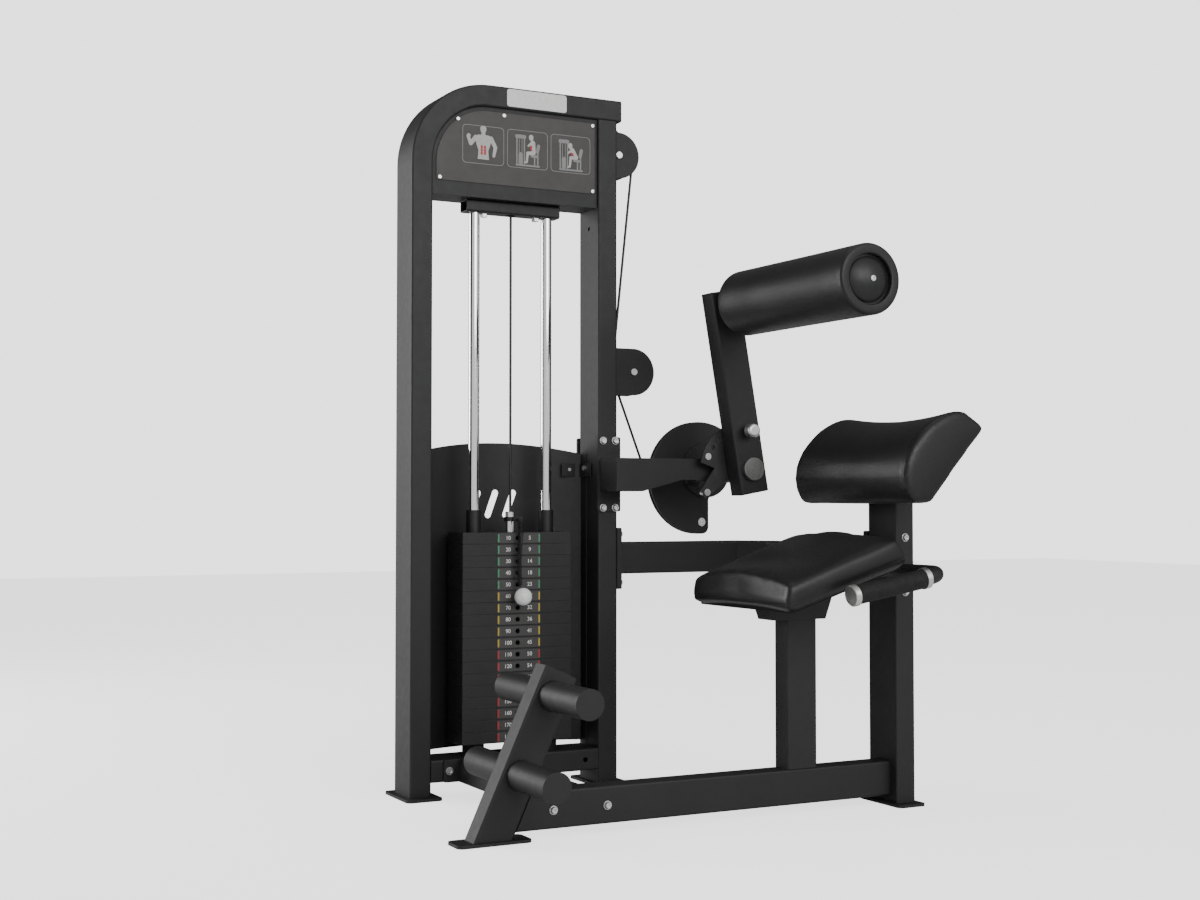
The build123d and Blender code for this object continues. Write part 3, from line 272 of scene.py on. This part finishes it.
def plastic(name, dark, light, roughness, grain=0.3):
    """Moulded plastic, or satin blackened steel, with a faint grain and softened edges."""
    g = Graph(name, roughness)
    colour = g.noisy_mix(30.0, 3.0, dark, light)
    normal = g.bump(g.noise(1500.0), 0.05 * MM, grain, g.rounded_edges(0.6 * MM))
    return g.finish(colour, g.noisy(80.0, roughness - 0.04, roughness + 0.05), normal)


def cable_jacket(name):
    """Black jacket that shows the lay of the strands under it."""
    g = Graph(name, 0.4)
    colour = g.noisy_mix(50.0, 2.0, (0.012, 0.012, 0.012), (0.022, 0.022, 0.022))
    lay = g.bump(g.waves(160.0, wave_type="BANDS", bands_direction="DIAGONAL"), 0.25 * MM, 0.4)
    return g.finish(colour, g.noisy(90.0, 0.34, 0.46), lay)


def backing_cloth(name):
    """Thin black non-woven cloth, stapled under a cushion."""
    g = Graph(name, 0.85, specular=0.2)
    fibres = g.noise(900.0, 5.0, (1.0, 0.4, 1.0))
    colour = g.mix(g.ramp(fibres, 0.0, 1.0), (0.006, 0.006, 0.006), (0.016, 0.016, 0.016))
    return g.finish(colour, g.ramp(fibres, 0.78, 0.92), g.bump(fibres, 0.15 * MM, 0.5))


def printed(name, colour, roughness=0.45):
    """Screen-printed ink, slightly uneven."""
    g = Graph(name, roughness)
    tone = g.noisy_mix(160.0, 3.0, tuple(c * 0.86 for c in colour), colour)
    return g.finish(tone, g.noisy(300.0, roughness - 0.05, roughness + 0.05))


soft_black = ((0.0060, 0.0060, 0.0062), (0.0095, 0.0095, 0.0098))
pivot_low, pivot_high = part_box("pivot_cap")
pivot_centre = (pivot_low + pivot_high) / 2

finishes = {
    # The third colour of each coat is a painted highlight along its edges.
    "frame_paint": powder_coat("frame_paint", (0.0175, 0.0175, 0.0182), (0.0205, 0.0205, 0.0212),
                               (0.040, 0.040, 0.041), 0.50),
    "stack_paint": powder_coat("stack_paint", (0.016, 0.016, 0.0165), (0.021, 0.021, 0.0215),
                               (0.045, 0.045, 0.046), 0.46),
    "sign_paint": powder_coat("sign_paint", (0.060, 0.055, 0.050), (0.075, 0.069, 0.064),
                              (0.10, 0.095, 0.09), 0.5),
    "chrome": chrome("chrome"),
    "bright_steel": bright_steel("bright_steel", (0.92, 0.92, 0.91), 0.32),
    "turned_steel": bright_steel("turned_steel", (0.30, 0.30, 0.29), 0.42, pivot_centre),
    "pad_vinyl": vinyl("pad_vinyl"),
    "roller_foam": foam("roller_foam"),
    "grip_rubber": ribbed_rubber("grip_rubber"),
    "black_plastic": plastic("black_plastic", (0.009, 0.009, 0.010), (0.014, 0.014, 0.015), 0.42),
    "white_plastic": plastic("white_plastic", (0.90, 0.90, 0.89), (0.94, 0.94, 0.93), 0.14, 0.1),
    "cable_jacket": cable_jacket("cable_jacket"),
    "backing_board": backing_cloth("backing_board"),
    "dark_steel": plastic("dark_steel", (0.030, 0.030, 0.030), (0.044, 0.044, 0.044), 0.34, 0.15),
}
ink = {
    "label_grey": printed("label_grey", (0.060, 0.058, 0.057)),
    "ink_white": printed("ink_white", (0.80, 0.80, 0.79)),
    "ink_grey": printed("ink_grey", (0.26, 0.26, 0.26)),
    "ink_pale": printed("ink_pale", (0.50, 0.50, 0.49)),
    "ink_green": printed("ink_green", (0.07, 0.30, 0.15)),
    "ink_yellow": printed("ink_yellow", (0.56, 0.40, 0.05)),
    "ink_red": printed("ink_red", (0.50, 0.035, 0.04)),
    "plate_white": printed("plate_white", (0.90, 0.90, 0.89), 0.35),
}


def dress_cad_nodes():
    """Each CAD node that stays in view takes the finish of its slot in the record."""
    for part in frame["record"]["subparts"]:
        data = nodes[part["node"]].data
        data.materials.clear()
        data.materials.append(finishes[part["material_slot"]])


dress_cad_nodes()


# ---------------------------------------------------------------- mesh helpers

def plain_object(name, data, material=None):
    """Links a new object and gives it its material."""
    piece = bpy.data.objects.new(name, data)
    scene.collection.objects.link(piece)
    if material:
        data.materials.clear()
        data.materials.append(material)
    return piece


def add_object(name, data, material, body):
    """A finished piece that rides on its body."""
    piece = plain_object(name, data, material)
    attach(piece, body)
    return piece


def smooth(mesh, angle=35.0):
    """Smooth shading that keeps corners sharper than the angle."""
    mesh.shade_smooth()
    mesh.set_sharp_from_angle(angle=math.radians(angle))


def evaluated_mesh(piece):
    """The mesh of an object with its modifiers applied."""
    graph = bpy.context.evaluated_depsgraph_get()
    return bpy.data.meshes.new_from_object(piece.evaluated_get(graph))


def apply_modifiers(piece):
    """Makes the modified mesh the piece's own."""
    mesh = evaluated_mesh(piece)
    old = piece.data
    piece.modifiers.clear()
    piece.data = mesh
    bpy.data.meshes.remove(old)


def join_meshes(name, parts):
    """One mesh from several."""
    built = bmesh.new()
    for part in parts:
        built.from_mesh(part)
        bpy.data.meshes.remove(part)
    mesh = bpy.data.meshes.new(name)
    built.to_mesh(mesh)
    built.free()
    return mesh


def stand_up(mesh, y):
    """Turns a flat drawing's x and y into the machine's x and z, at depth y."""
    for vertex in mesh.vertices:
        x, z, depth = vertex.co
        vertex.co = (x, y - depth, z)
    mesh.update()


def mesh_of_curve(curve):
    """The mesh that a curve makes; the curve is deleted."""
    holder = bpy.data.objects.new(curve.name, curve)
    scene.collection.objects.link(holder)
    mesh = evaluated_mesh(holder)
    bpy.data.objects.remove(holder)
    bpy.data.curves.remove(curve)
    return mesh


def add_spline(curve, kind, places):
    """A spline through, or guided by, places in the curve's own space."""
    spline = curve.splines.new(kind)
    spline.points.add(len(places) - 1)
    for point, place in zip(spline.points, places):
        point.co = (*place, 1.0)
    return spline


def drawn_mesh(name, loops, y, thickness):
    """Thin flat sheet from closed loops of (x, z) points; a loop inside another is a hole."""
    curve = bpy.data.curves.new(name, "CURVE")
    curve.dimensions = "2D"
    curve.fill_mode = "BOTH"
    curve.extrude = thickness / 2
    for loop in loops:
        spline = add_spline(curve, "POLY", [(x, z, 0.0) for x, z in loop])
        spline.use_cyclic_u = True
    mesh = mesh_of_curve(curve)
    stand_up(mesh, y - thickness / 2)
    return mesh


def text_mesh(words, x, z, size, y, thickness):
    """Thin standing characters, centred on a place."""
    curve = bpy.data.curves.new("text", "FONT")
    curve.body = words
    curve.size = size
    curve.align_x = "CENTER"
    curve.align_y = "CENTER"
    curve.extrude = thickness / 2
    curve.offset = size * 0.012
    mesh = mesh_of_curve(curve)
    for vertex in mesh.vertices:
        vertex.co.x += x
        vertex.co.y += z
    stand_up(mesh, y - thickness / 2)
    return mesh


def mesh_of_rings(name, rings, closed):
    """A skin over rings of points; it closes back on the first ring, or both its ends are capped."""
    built = bmesh.new()
    turns = [[built.verts.new(point) for point in ring] for ring in rings]
    followers = turns[1:] + turns[:1] if closed else turns[1:]
    for first, second in zip(turns, followers):
        for i in range(len(first)):
            built.faces.new((first[i - 1], first[i], second[i], second[i - 1]))
    if not closed:
        built.faces.new(turns[0])
        built.faces.new(turns[-1])
    bmesh.ops.recalc_face_normals(built, faces=built.faces)
    mesh = bpy.data.meshes.new(name)
    built.to_mesh(mesh)
    built.free()
    return mesh


def arc(x, z, radius, start, sweep, steps):
    """Points on an arc from a start angle, in degrees."""
    angles = [math.radians(start + sweep * i / steps) for i in range(steps + 1)]
    return [(x + radius * math.cos(angle), z + radius * math.sin(angle)) for angle in angles]


def circle(x, z, radius, steps=32):
    """A circle's points, the first not repeated at the end."""
    return arc(x, z, radius, 0, 360, steps)[:-1]


def rounded_box(left, low, right, high, radius, steps=6):
    """A rectangle's outline with round corners."""
    corners = ((right - radius, high - radius, 0), (left + radius, high - radius, 90),
               (left + radius, low + radius, 180), (right - radius, low + radius, 270))
    return [point for x, z, start in corners for point in arc(x, z, radius, start, 90, steps)]


def limb(start, end, first, last, steps=10):
    """A tapered stroke with round ends, for the sign's figures."""
    direction = math.degrees(math.atan2(end[1] - start[1], end[0] - start[0]))
    return (arc(*end, last, direction - 90, 180, steps)
            + arc(*start, first, direction + 90, 180, steps))


# ---------------------------------------------------------------- cords

def layout_point(x, y, z):
    """A place in the CAD's own layout, counted in millimetres from the foot of the tower's left post."""
    return Vector(((x - 467.0) * MM, (y + 308.5) * MM, z * MM))


tether_route = [layout_point(277, 27, 620), layout_point(272, 10, 617), layout_point(264, -9, 598),
                layout_point(259, -12, 556), layout_point(257, -11, 510), layout_point(259, -14, 466)]
tether_wire = 2.6 * MM
coil_radius = 5.1 * MM
coil_pitch = 4.2 * MM
points_per_turn = 14
coil_lead = 1.5
coil_least = 0.02


def line_length(line):
    """The length of a line through points."""
    return sum((end - start).length for start, end in zip(line, line[1:]))


def smooth_line(route, resolution=24):
    """Points read off a smooth line that the route guides."""
    curve = bpy.data.curves.new("route", "CURVE")
    curve.dimensions = "3D"
    curve.resolution_u = resolution
    spline = add_spline(curve, "NURBS", route)
    spline.order_u = 3
    spline.use_endpoint_u = True
    mesh = mesh_of_curve(curve)
    line = [vertex.co.copy() for vertex in mesh.vertices]
    bpy.data.meshes.remove(mesh)
    return line


def along(line, distance):
    """The place and direction at a distance along a line."""
    for start, end in zip(line, line[1:]):
        run = (end - start).length
        if distance <= run:
            return start.lerp(end, distance / run), (end - start).normalized()
        distance -= run
    return line[-1].copy(), (line[-1] - line[-2]).normalized()


def helix(line, radius, pitch, per_turn):
    """A coil wound round a line, drawn in to the line over its first and last turn and a half."""
    total = line_length(line)
    turns = int(total / pitch)
    count = turns * per_turn
    points = []
    for i in range(count + 1):
        share = i / count
        centre, ahead = along(line, total * share)
        side = ahead.cross(Vector((1.0, 0.0, 0.0))).normalized()
        other = ahead.cross(side)
        angle = 2 * math.pi * turns * share
        to_end = min(share, 1 - share) * turns
        reach = radius * min(1.0, to_end / coil_lead + coil_least)
        points.append(centre + side * math.cos(angle) * reach + other * math.sin(angle) * reach)
    return points


def make_tether():
    """The coiled tether from the clip on the stem down to the selector pin's ball."""
    points = helix(smooth_line(tether_route), coil_radius, coil_pitch, points_per_turn)
    curve = bpy.data.curves.new("tether_coil", "CURVE")
    curve.dimensions = "3D"
    curve.bevel_depth = tether_wire / 2
    curve.bevel_resolution = 3
    curve.use_fill_caps = True
    curve.resolution_u = 1
    add_spline(curve, "POLY", points)
    coil = plain_object("tether_coil", mesh_of_curve(curve), finishes["black_plastic"])
    smooth(coil.data, 60)
    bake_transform(coil)
    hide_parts("tether")


def make_stack_cable():
    """The cable from the hidden pulley down to the carriage."""
    low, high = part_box("cable_stack")
    centre = (low + high) / 2
    radius = (high.x - low.x) / 2
    lengths = 60
    outline = circle(centre.x, centre.y, radius, 16)
    heights = [high.z + (low.z - high.z) * i / lengths for i in range(lengths + 1)]
    mesh = mesh_of_rings("stack_cable", [[(x, y, z) for x, y in outline] for z in heights], closed=False)
    cable = plain_object("stack_cable", mesh, finishes["cable_jacket"])
    smooth(cable.data, 60)
    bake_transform(cable)
    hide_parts("cable_stack")


make_tether()
make_stack_cable()


# ---------------------------------------------------------------- padded pieces

voxel = 5 * MM
rounding = 20
cloth_frames = 20
cloth_pressure = 3.0
cloth_stiffness = 30.0
cloth_bending = 3.0
greatest_swell = 3 * MM
evening_rounds = 30
seam_width = 1.5 * MM


def cushion_blank(name, wrapped, proud):
    """A cover drawn round its CAD solids, remeshed, with its edges rounded, standing proud by a little."""
    piece = plain_object(name, join_meshes(name, [nodes[node].data.copy() for node in wrapped]))
    remesh = piece.modifiers.new("remesh", "REMESH")
    remesh.mode = "VOXEL"
    remesh.voxel_size = voxel
    soften = piece.modifiers.new("soften", "SMOOTH")
    soften.factor = 0.5
    soften.iterations = rounding
    swell = piece.modifiers.new("swell", "DISPLACE")
    swell.mid_level = 0.0
    swell.strength = proud
    apply_modifiers(piece)
    inflate(piece)
    return piece


def spread(mesh, shifts, rounds):
    """Averages vertex shifts with their neighbours', some rounds over."""
    edges = np.empty(len(mesh.edges) * 2, dtype=np.int64)
    mesh.edges.foreach_get("vertices", edges)
    first, second = edges.reshape(-1, 2).T
    count = np.bincount(np.concatenate((first, second)), minlength=len(shifts))[:, None]
    for _ in range(rounds):
        total = np.zeros_like(shifts)
        np.add.at(total, first, shifts[second])
        np.add.at(total, second, shifts[first])
        shifts = (shifts + total / count) / 2
    return shifts


def inflate(piece):
    """Swells the cover with cloth, as far as a cap, and evens the swelling out so that it stays tight."""
    before = np.array([vertex.co for vertex in piece.data.vertices])
    cloth = piece.modifiers.new("cloth", "CLOTH")
    cloth.settings.use_pressure = True
    cloth.settings.uniform_pressure_force = cloth_pressure
    cloth.settings.effector_weights.gravity = 0.0
    cloth.settings.tension_stiffness = cloth_stiffness
    cloth.settings.compression_stiffness = cloth_stiffness
    cloth.settings.bending_stiffness = cloth_bending
    for step in range(1, cloth_frames + 1):
        scene.frame_set(step)
    swollen = evaluated_mesh(piece)
    piece.modifiers.clear()
    shifts = np.array([vertex.co for vertex in swollen.vertices]) - before
    bpy.data.meshes.remove(swollen)
    lengths = np.linalg.norm(shifts, axis=1, keepdims=True)
    shifts *= np.minimum(1.0, greatest_swell / np.maximum(lengths, 1e-9))
    shifts = spread(piece.data, shifts, evening_rounds)
    piece.data.vertices.foreach_set("co", (before + shifts).ravel())
    piece.data.update()
    scene.frame_set(1)


def refine(piece):
    """Divides each face in four and shades it smooth."""
    divide = piece.modifiers.new("divide", "SUBSURF")
    divide.levels = 1
    divide.render_levels = 1
    apply_modifiers(piece)
    piece.data.shade_smooth()


def press_seam(piece, start, across, depth):
    """Sinks a stitched seam into a cover, along the plane through a point and square to a direction."""
    normals = [vertex.normal.copy() for vertex in piece.data.vertices]
    for vertex, normal in zip(piece.data.vertices, normals):
        near = (vertex.co - start).dot(across) / seam_width
        if abs(near) < 3:
            vertex.co -= normal * depth * math.exp(-near * near)
    piece.data.update()


def finish_pad(piece, node):
    """The cushion takes its vinyl and stands for its CAD solid."""
    piece.data.materials.clear()
    piece.data.materials.append(finishes["pad_vinyl"])
    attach(piece, "frame")
    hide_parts(node)


def hill(share, middle, width):
    """A smooth hill of height one."""
    return math.exp(-((share - middle) / width) ** 2)


def within(value):
    """Keeps a value between nought and one."""
    return min(1.0, max(0.0, value))


seat_tilt = math.radians(17.5)
seat_proud = 4.0 * MM
seat_seam = 12 * MM

# The top's shaping begins at one height and is full a little above it; the underside's fades out upwards.
top_from, top_over = 24 * MM, 20 * MM
bottom_over = 22 * MM
dish_depth, dish_place, dish_width = 9 * MM, 0.36, 0.17
roll_height, roll_place, roll_width = 3 * MM, 0.06, 0.12
fall_depth, fall_reach = 9 * MM, 0.55
lift_height, lift_rate = 7 * MM, 2.2


def make_seat():
    """The seat cushion: a crowned front roll with a dish behind it, and a low seam near the board.

    Places are counted from its low front edge: height square to the board, run along it from 0 to 1.
    """
    seat = cushion_blank("seat_cushion", ["seat_pad", "seat_board"], seat_proud)
    low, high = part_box("seat_pad")
    half_width = (high.y - low.y) / 2
    length = (high.x - low.x) / math.cos(seat_tilt)
    up = Vector((-math.sin(seat_tilt), 0.0, math.cos(seat_tilt)))
    ahead = Vector((math.cos(seat_tilt), 0.0, math.sin(seat_tilt)))
    corner = Vector((low.x, (low.y + high.y) / 2, low.z))
    for vertex in seat.data.vertices:
        place = vertex.co - corner
        height = place.dot(up)
        run = place.dot(ahead) / length
        across = max(0.0, 1 - (place.y / half_width) ** 2)
        top = within((height - top_from) / top_over)
        bottom = within(1 - height / bottom_over)
        dish = dish_depth * hill(run, dish_place, dish_width)
        roll = roll_height * hill(run, roll_place, roll_width)
        fall = fall_depth * max(0.0, 1 - run / fall_reach) ** 1.5
        lift = lift_height * max(0.0, 1 - run * lift_rate)
        vertex.co += up * (across * ((roll - dish) * top + lift * bottom) - fall * top)
    refine(seat)
    press_seam(seat, corner + up * seat_seam, up, 0.9 * MM)
    finish_pad(seat, "seat_pad")


back_proud = 3.5 * MM
back_dip = 15 * MM
dip_from = 0.45
back_seam = 14 * MM


def make_back():
    """The back cushion: a full curved front, a straight back and a dip along its top edge."""
    back = cushion_blank("back_cushion", ["back_pad", "back_board"], back_proud)
    low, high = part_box("back_pad")
    middle = (low.y + high.y) / 2
    half_width = (high.y - low.y) / 2
    for vertex in back.data.vertices:
        side = (vertex.co.y - middle) / half_width
        rise = max(0.0, (vertex.co.z - low.z) / (high.z - low.z) - dip_from) / (1 - dip_from)
        vertex.co.z -= back_dip * rise * max(0.0, 1 - side * side)
    refine(back)
    for y in (low.y + back_seam, high.y - back_seam):
        press_seam(back, Vector((0.0, y, 0.0)), Vector((0.0, 1.0, 0.0)), 0.8 * MM)
    finish_pad(back, "back_pad")


make_seat()
make_back()


roller_steps = 96
roller_spans = 40
roller_bore = 16 * MM
cap_recess = 53 * MM
recess_depth = 11.5 * MM
shoulder = 7 * MM
recess_lip = 3 * MM
roller_waist = 0.35 * MM
arm_gap = 0.5 * MM


def make_roller():
    """The foam roller: a thick sleeve with soft shoulders and a recess for its end cap."""
    low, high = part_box("roller_pad")
    centre = (low + high) / 2
    outer = (high.x - low.x) / 2
    back, front = high.y - arm_gap, low.y
    run = back - front - 2 * shoulder
    profile = [(back, roller_bore + (outer - shoulder - roller_bore) * i / 6) for i in range(6)]
    profile += arc(back - shoulder, outer - shoulder, shoulder, 0, 90, 6)
    for i in range(1, roller_spans):
        waist = roller_waist * math.sin(math.pi * i / roller_spans)
        profile.append((back - shoulder - run * i / roller_spans, outer - waist))
    profile += arc(front + shoulder, outer - shoulder, shoulder, 90, 90, 6)
    profile += arc(front + recess_lip, cap_recess + recess_lip, recess_lip, 180, 90, 4)
    profile += [(front + recess_depth, cap_recess), (front + recess_depth, roller_bore)]
    rings = [[(x, y, z) for x, z in circle(centre.x, centre.z, radius, roller_steps)]
             for y, radius in profile]
    mesh = mesh_of_rings("roller_sleeve", rings, closed=True)
    smooth(mesh, 50)
    sleeve = add_object("roller_sleeve", mesh, finishes["roller_foam"], "roller")
    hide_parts("roller_pad")


make_roller()


# ---------------------------------------------------------------- weight labels

row_pitch = 26.5 * MM
row_height = 26.0 * MM
label_thickness = 0.25 * MM
ink_thickness = 0.1 * MM
label_half_width = 53 * MM
label_half_height = 11 * MM
stripe_half_width = 1.9 * MM
stripe_half_height = 9 * MM
digit_size = 12.5 * MM
digit_place = 27 * MM
hole_clearance = 6.2 * MM
pounds_per_row = 10
kilograms_per_pound = 0.4536
row_colours = ["ink_green"] * 5 + ["ink_yellow"] * 5 + ["ink_red"] * 8
plate_low, plate_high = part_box("top_plate")
pin_low, pin_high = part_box("selector_pin")
hole_x = (pin_low.x + pin_high.x) / 2
label_x = hole_x + 3 * MM


def make_labels(body, first, last):
    """Number labels on the front edges of some rows, counted down from the top plate."""
    backs, digits, stripes = [], [], {}
    face = plate_low.y
    for row in range(first, last + 1):
        middle = plate_high.z - (row - 1) * row_pitch - row_height / 2
        backs.append(rounded_box(label_x - label_half_width, middle - label_half_height,
                                 label_x + label_half_width, middle + label_half_height, 1.5 * MM))
        backs.append(circle(hole_x, middle, hole_clearance))
        for side in (-1, 1):
            x = label_x + side * (label_half_width - 2 * MM)
            stripe = rounded_box(x - stripe_half_width, middle - stripe_half_height,
                                 x + stripe_half_width, middle + stripe_half_height, 1.2 * MM)
            stripes.setdefault(row_colours[row - 1], []).append(stripe)
        pounds = row * pounds_per_row
        for side, number in ((-1, pounds), (1, round(pounds * kilograms_per_pound))):
            digits.append(text_mesh(str(number), label_x + side * digit_place, middle, digit_size,
                                    face - label_thickness, ink_thickness))
    back = drawn_mesh("labels", backs, face, label_thickness)
    add_object(f"labels_{body}", back, ink["label_grey"], body)
    numbers = join_meshes("numbers", digits)
    add_object(f"label_numbers_{body}", numbers, ink["ink_white"], body)
    for colour, loops in stripes.items():
        stripe = drawn_mesh("stripes", loops, face - label_thickness, ink_thickness)
        add_object(f"label_{colour}_{body}", stripe, ink[colour], body)


make_labels("carriage", 1, 6)
make_labels("frame", 7, 18)


# ---------------------------------------------------------------- sign and nameplate

sign_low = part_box("sign_panel")[0]
sign_face = sign_low.y
picture_width = 103 * MM
picture_height = 88 * MM
picture_pitch = 111 * MM
first_picture = 63 * MM
picture_low = 44 * MM
frame_line = 1.3 * MM
frame_corner = 9 * MM
figure_drop = 3 * MM
nameplate_left = 231 * MM
nameplate_right = 383 * MM
nameplate_drop = 4 * MM
nameplate_height = 40.5 * MM

# A stroke is its first end, its last end and the radius at each, in millimetres about a picture's middle.
torso = [(-21, 22), (-12, 26), (12, 26), (21, 22), (17, 4),
         (12, -10), (14, -30), (-14, -30), (-12, -10), (-17, 4)]
head_and_arms = [(0, 37, 0, 40, 7, 7.5), (0, 24, 0, 34, 5, 4.5), (-19, 19, -31, 4, 5.5, 4.5),
                 (-31, 4, -37, 18, 4.5, 3.8), (-37, 20, -36, 22, 4.6, 4.6), (19, 19, 30, 0, 5.5, 4.5),
                 (30, 0, 26, -20, 4.5, 3.4)]
belly = [(side * 4, z, side * 4, z + 2.5, 2.7, 2.7) for side in (-1, 1) for z in (-3, -10, -17)]
small_machine = [(-28, -34, 30, -34, 2, 2), (-27, -34, -27, 30, 1.6, 1.6), (-8, -34, -8, 30, 1.6, 1.6),
                 (-21, -30, -21, 26, 0.7, 0.7), (-14, -30, -14, 26, 0.7, 0.7), (-27, 32, -8, 32, 4.5, 4.5),
                 (18, -34, 18, -12, 1.8, 1.8), (26, -34, 26, 6, 1.8, 1.8), (10, -11, 24, -11, 2.8, 2.8),
                 (25, 0, 28, 14, 4, 4), (-17.5, -29, -17.5, -10, 5.5, 5.5)]
legs = [(15, -4, 0, -5, 4.6, 3.8), (0, -5, -2, -24, 3.4, 2.6), (-2, -26, -7, -27, 2.4, 2.0)]
upright_user = [(9, 30, 9, 33, 5.4, 5.6), (13, 19, 15, -2, 6.4, 5.6), *legs, (11, 20, 2, 12, 3, 2.4)]
bent_user = [(-1, 21, -1, 24, 5.4, 5.6), (4, 12, 13, -2, 6.4, 5.6), *legs, (2, 12, -6, 6, 3, 2.4)]
upright_belly = [(9, 11, 9.5, 3, 2.6, 2.4)]
bent_belly = [(3, 5, 6, 1, 2.6, 2.4)]


def strokes_at(centre, strokes, y):
    """Tapered strokes about a centre, each a hair thicker than the one before so that none flicker."""
    meshes = []
    for i, (x1, z1, x2, z2, first, last) in enumerate(strokes):
        start = (centre[0] + x1 * MM, centre[1] + z1 * MM)
        end = (centre[0] + x2 * MM, centre[1] + z2 * MM)
        meshes.append(drawn_mesh("stroke", [limb(start, end, first * MM, last * MM)], y,
                                 (0.15 + 0.02 * i) * MM))
    return meshes


def make_sign():
    """Three framed pictures of the exercise, drawn as plain figures."""
    outlines, figures, machines, accents = [], [], [], []
    low = sign_low.z + picture_low
    over = sign_face - 0.4 * MM
    above = sign_face - 0.6 * MM
    for i in range(3):
        left = sign_low.x + first_picture + picture_pitch * i
        right, high = left + picture_width, low + picture_height
        outlines.append(rounded_box(left, low, right, high, frame_corner))
        outlines.append(rounded_box(left + frame_line, low + frame_line, right - frame_line,
                                    high - frame_line, frame_corner - 1 * MM))
        centre = (left + picture_width / 2, low + picture_height / 2 - figure_drop)
        if i == 0:
            figures += strokes_at(centre, head_and_arms, sign_face)
            body = [(centre[0] + x * MM, centre[1] + z * MM) for x, z in torso]
            figures.append(drawn_mesh("torso", [body], sign_face, 0.35 * MM))
            accents += strokes_at(centre, belly, above)
        else:
            machines += strokes_at(centre, small_machine, sign_face)
            figures += strokes_at(centre, upright_user if i == 1 else bent_user, over)
            accents += strokes_at(centre, upright_belly if i == 1 else bent_belly, above)
    outline = drawn_mesh("outlines", outlines, sign_face, 0.2 * MM)
    add_object("sign_outlines", outline, ink["ink_grey"], "frame")
    for name, meshes, colour in (("sign_figures", figures, "ink_pale"),
                                 ("sign_machines", machines, "ink_grey"),
                                 ("sign_accents", accents, "ink_red")):
        add_object(name, join_meshes(name, meshes), ink[colour], "frame")


def make_nameplate():
    """A pale plate without a name on the hoop's top."""
    low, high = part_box("tower_hoop")
    top = high.z - nameplate_drop
    outline = rounded_box(low.x + nameplate_left, top - nameplate_height, low.x + nameplate_right, top, 6 * MM)
    plate = drawn_mesh("nameplate", [outline], low.y, 0.4 * MM)
    add_object("blank_nameplate", plate, ink["plate_white"], "frame")


make_sign()
make_nameplate()


# ---------------------------------------------------------------- floor, light and world

floor_half = 12.0
floor_lift = 1.7
front_direction = -0.7
back_direction = 0.25
room_front = 0.78
room_back = 0.07
backdrop_seen = 2.4


def seen_directly(tree):
    """One for what the camera looks at, nought for light that bounces."""
    return tree.nodes.new("ShaderNodeLightPath").outputs["Is Camera Ray"]


def make_floor():
    """A pale floor, lifted towards the white of the background where the camera sees it."""
    mesh = bpy.data.meshes.new("floor")
    built = bmesh.new()
    bmesh.ops.create_grid(built, x_segments=2, y_segments=2, size=floor_half)
    built.to_mesh(mesh)
    built.free()
    g = Graph("floor_white", 0.8, specular=0.1)
    tone = g.noisy_mix(0.6, 2.0, (0.84, 0.84, 0.84), (0.86, 0.86, 0.86))
    g.shader.inputs["Emission Color"].default_value = (1.0, 1.0, 1.0, 1.0)
    g.link(g.ramp(seen_directly(g.tree), 0.0, floor_lift, 0.0, 1.0), g.shader.inputs["Emission Strength"])
    floor = plain_object("floor", mesh, g.finish(tone))


def area_light(name, place, target, size, power):
    """A rectangular soft box that faces its target."""
    data = bpy.data.lights.new(name, "AREA")
    data.shape = "RECTANGLE"
    data.size, data.size_y = size
    data.energy = power
    light = bpy.data.objects.new(name, data)
    light.location = place
    light.rotation_euler = (Vector(target) - Vector(place)).to_track_quat("-Z", "Y").to_euler()
    scene.collection.objects.link(light)


def make_world():
    """A white backdrop that gives less light than it shows, and most of it from the front."""
    world = bpy.data.worlds.new("studio")
    scene.world = world
    world.use_nodes = True
    tree = world.node_tree
    background = tree.nodes["Background"]
    background.inputs["Color"].default_value = (1.0, 1.0, 1.0, 1.0)
    split = tree.nodes.new("ShaderNodeSeparateXYZ")
    tree.links.new(tree.nodes.new("ShaderNodeTexCoord").outputs["Generated"], split.inputs["Vector"])
    room = tree.nodes.new("ShaderNodeMapRange")
    room.inputs["From Min"].default_value = front_direction
    room.inputs["From Max"].default_value = back_direction
    room.inputs["To Min"].default_value = room_front
    room.inputs["To Max"].default_value = room_back
    tree.links.new(split.outputs["Y"], room.inputs["Value"])
    strength = tree.nodes.new("ShaderNodeMapRange")
    strength.inputs["To Max"].default_value = backdrop_seen
    tree.links.new(seen_directly(tree), strength.inputs["Value"])
    tree.links.new(room.outputs["Result"], strength.inputs["To Min"])
    tree.links.new(strength.outputs["Result"], background.inputs["Strength"])


def make_lights():
    """A broad key from behind on the left, a softer front and a weak top."""
    area_light("key", (-3.2, 2.7, 1.5), (-0.1, 0.1, 0.8), (2.0, 2.4), 120.0)
    area_light("front", (0.4, -4.2, 2.4), (0.1, 0.0, 0.8), (3.4, 1.8), 78.0)
    area_light("top", (0.2, 0.3, 4.0), (0.1, 0.0, 0.6), (2.4, 2.4), 14.0)


make_floor()
make_world()
make_lights()
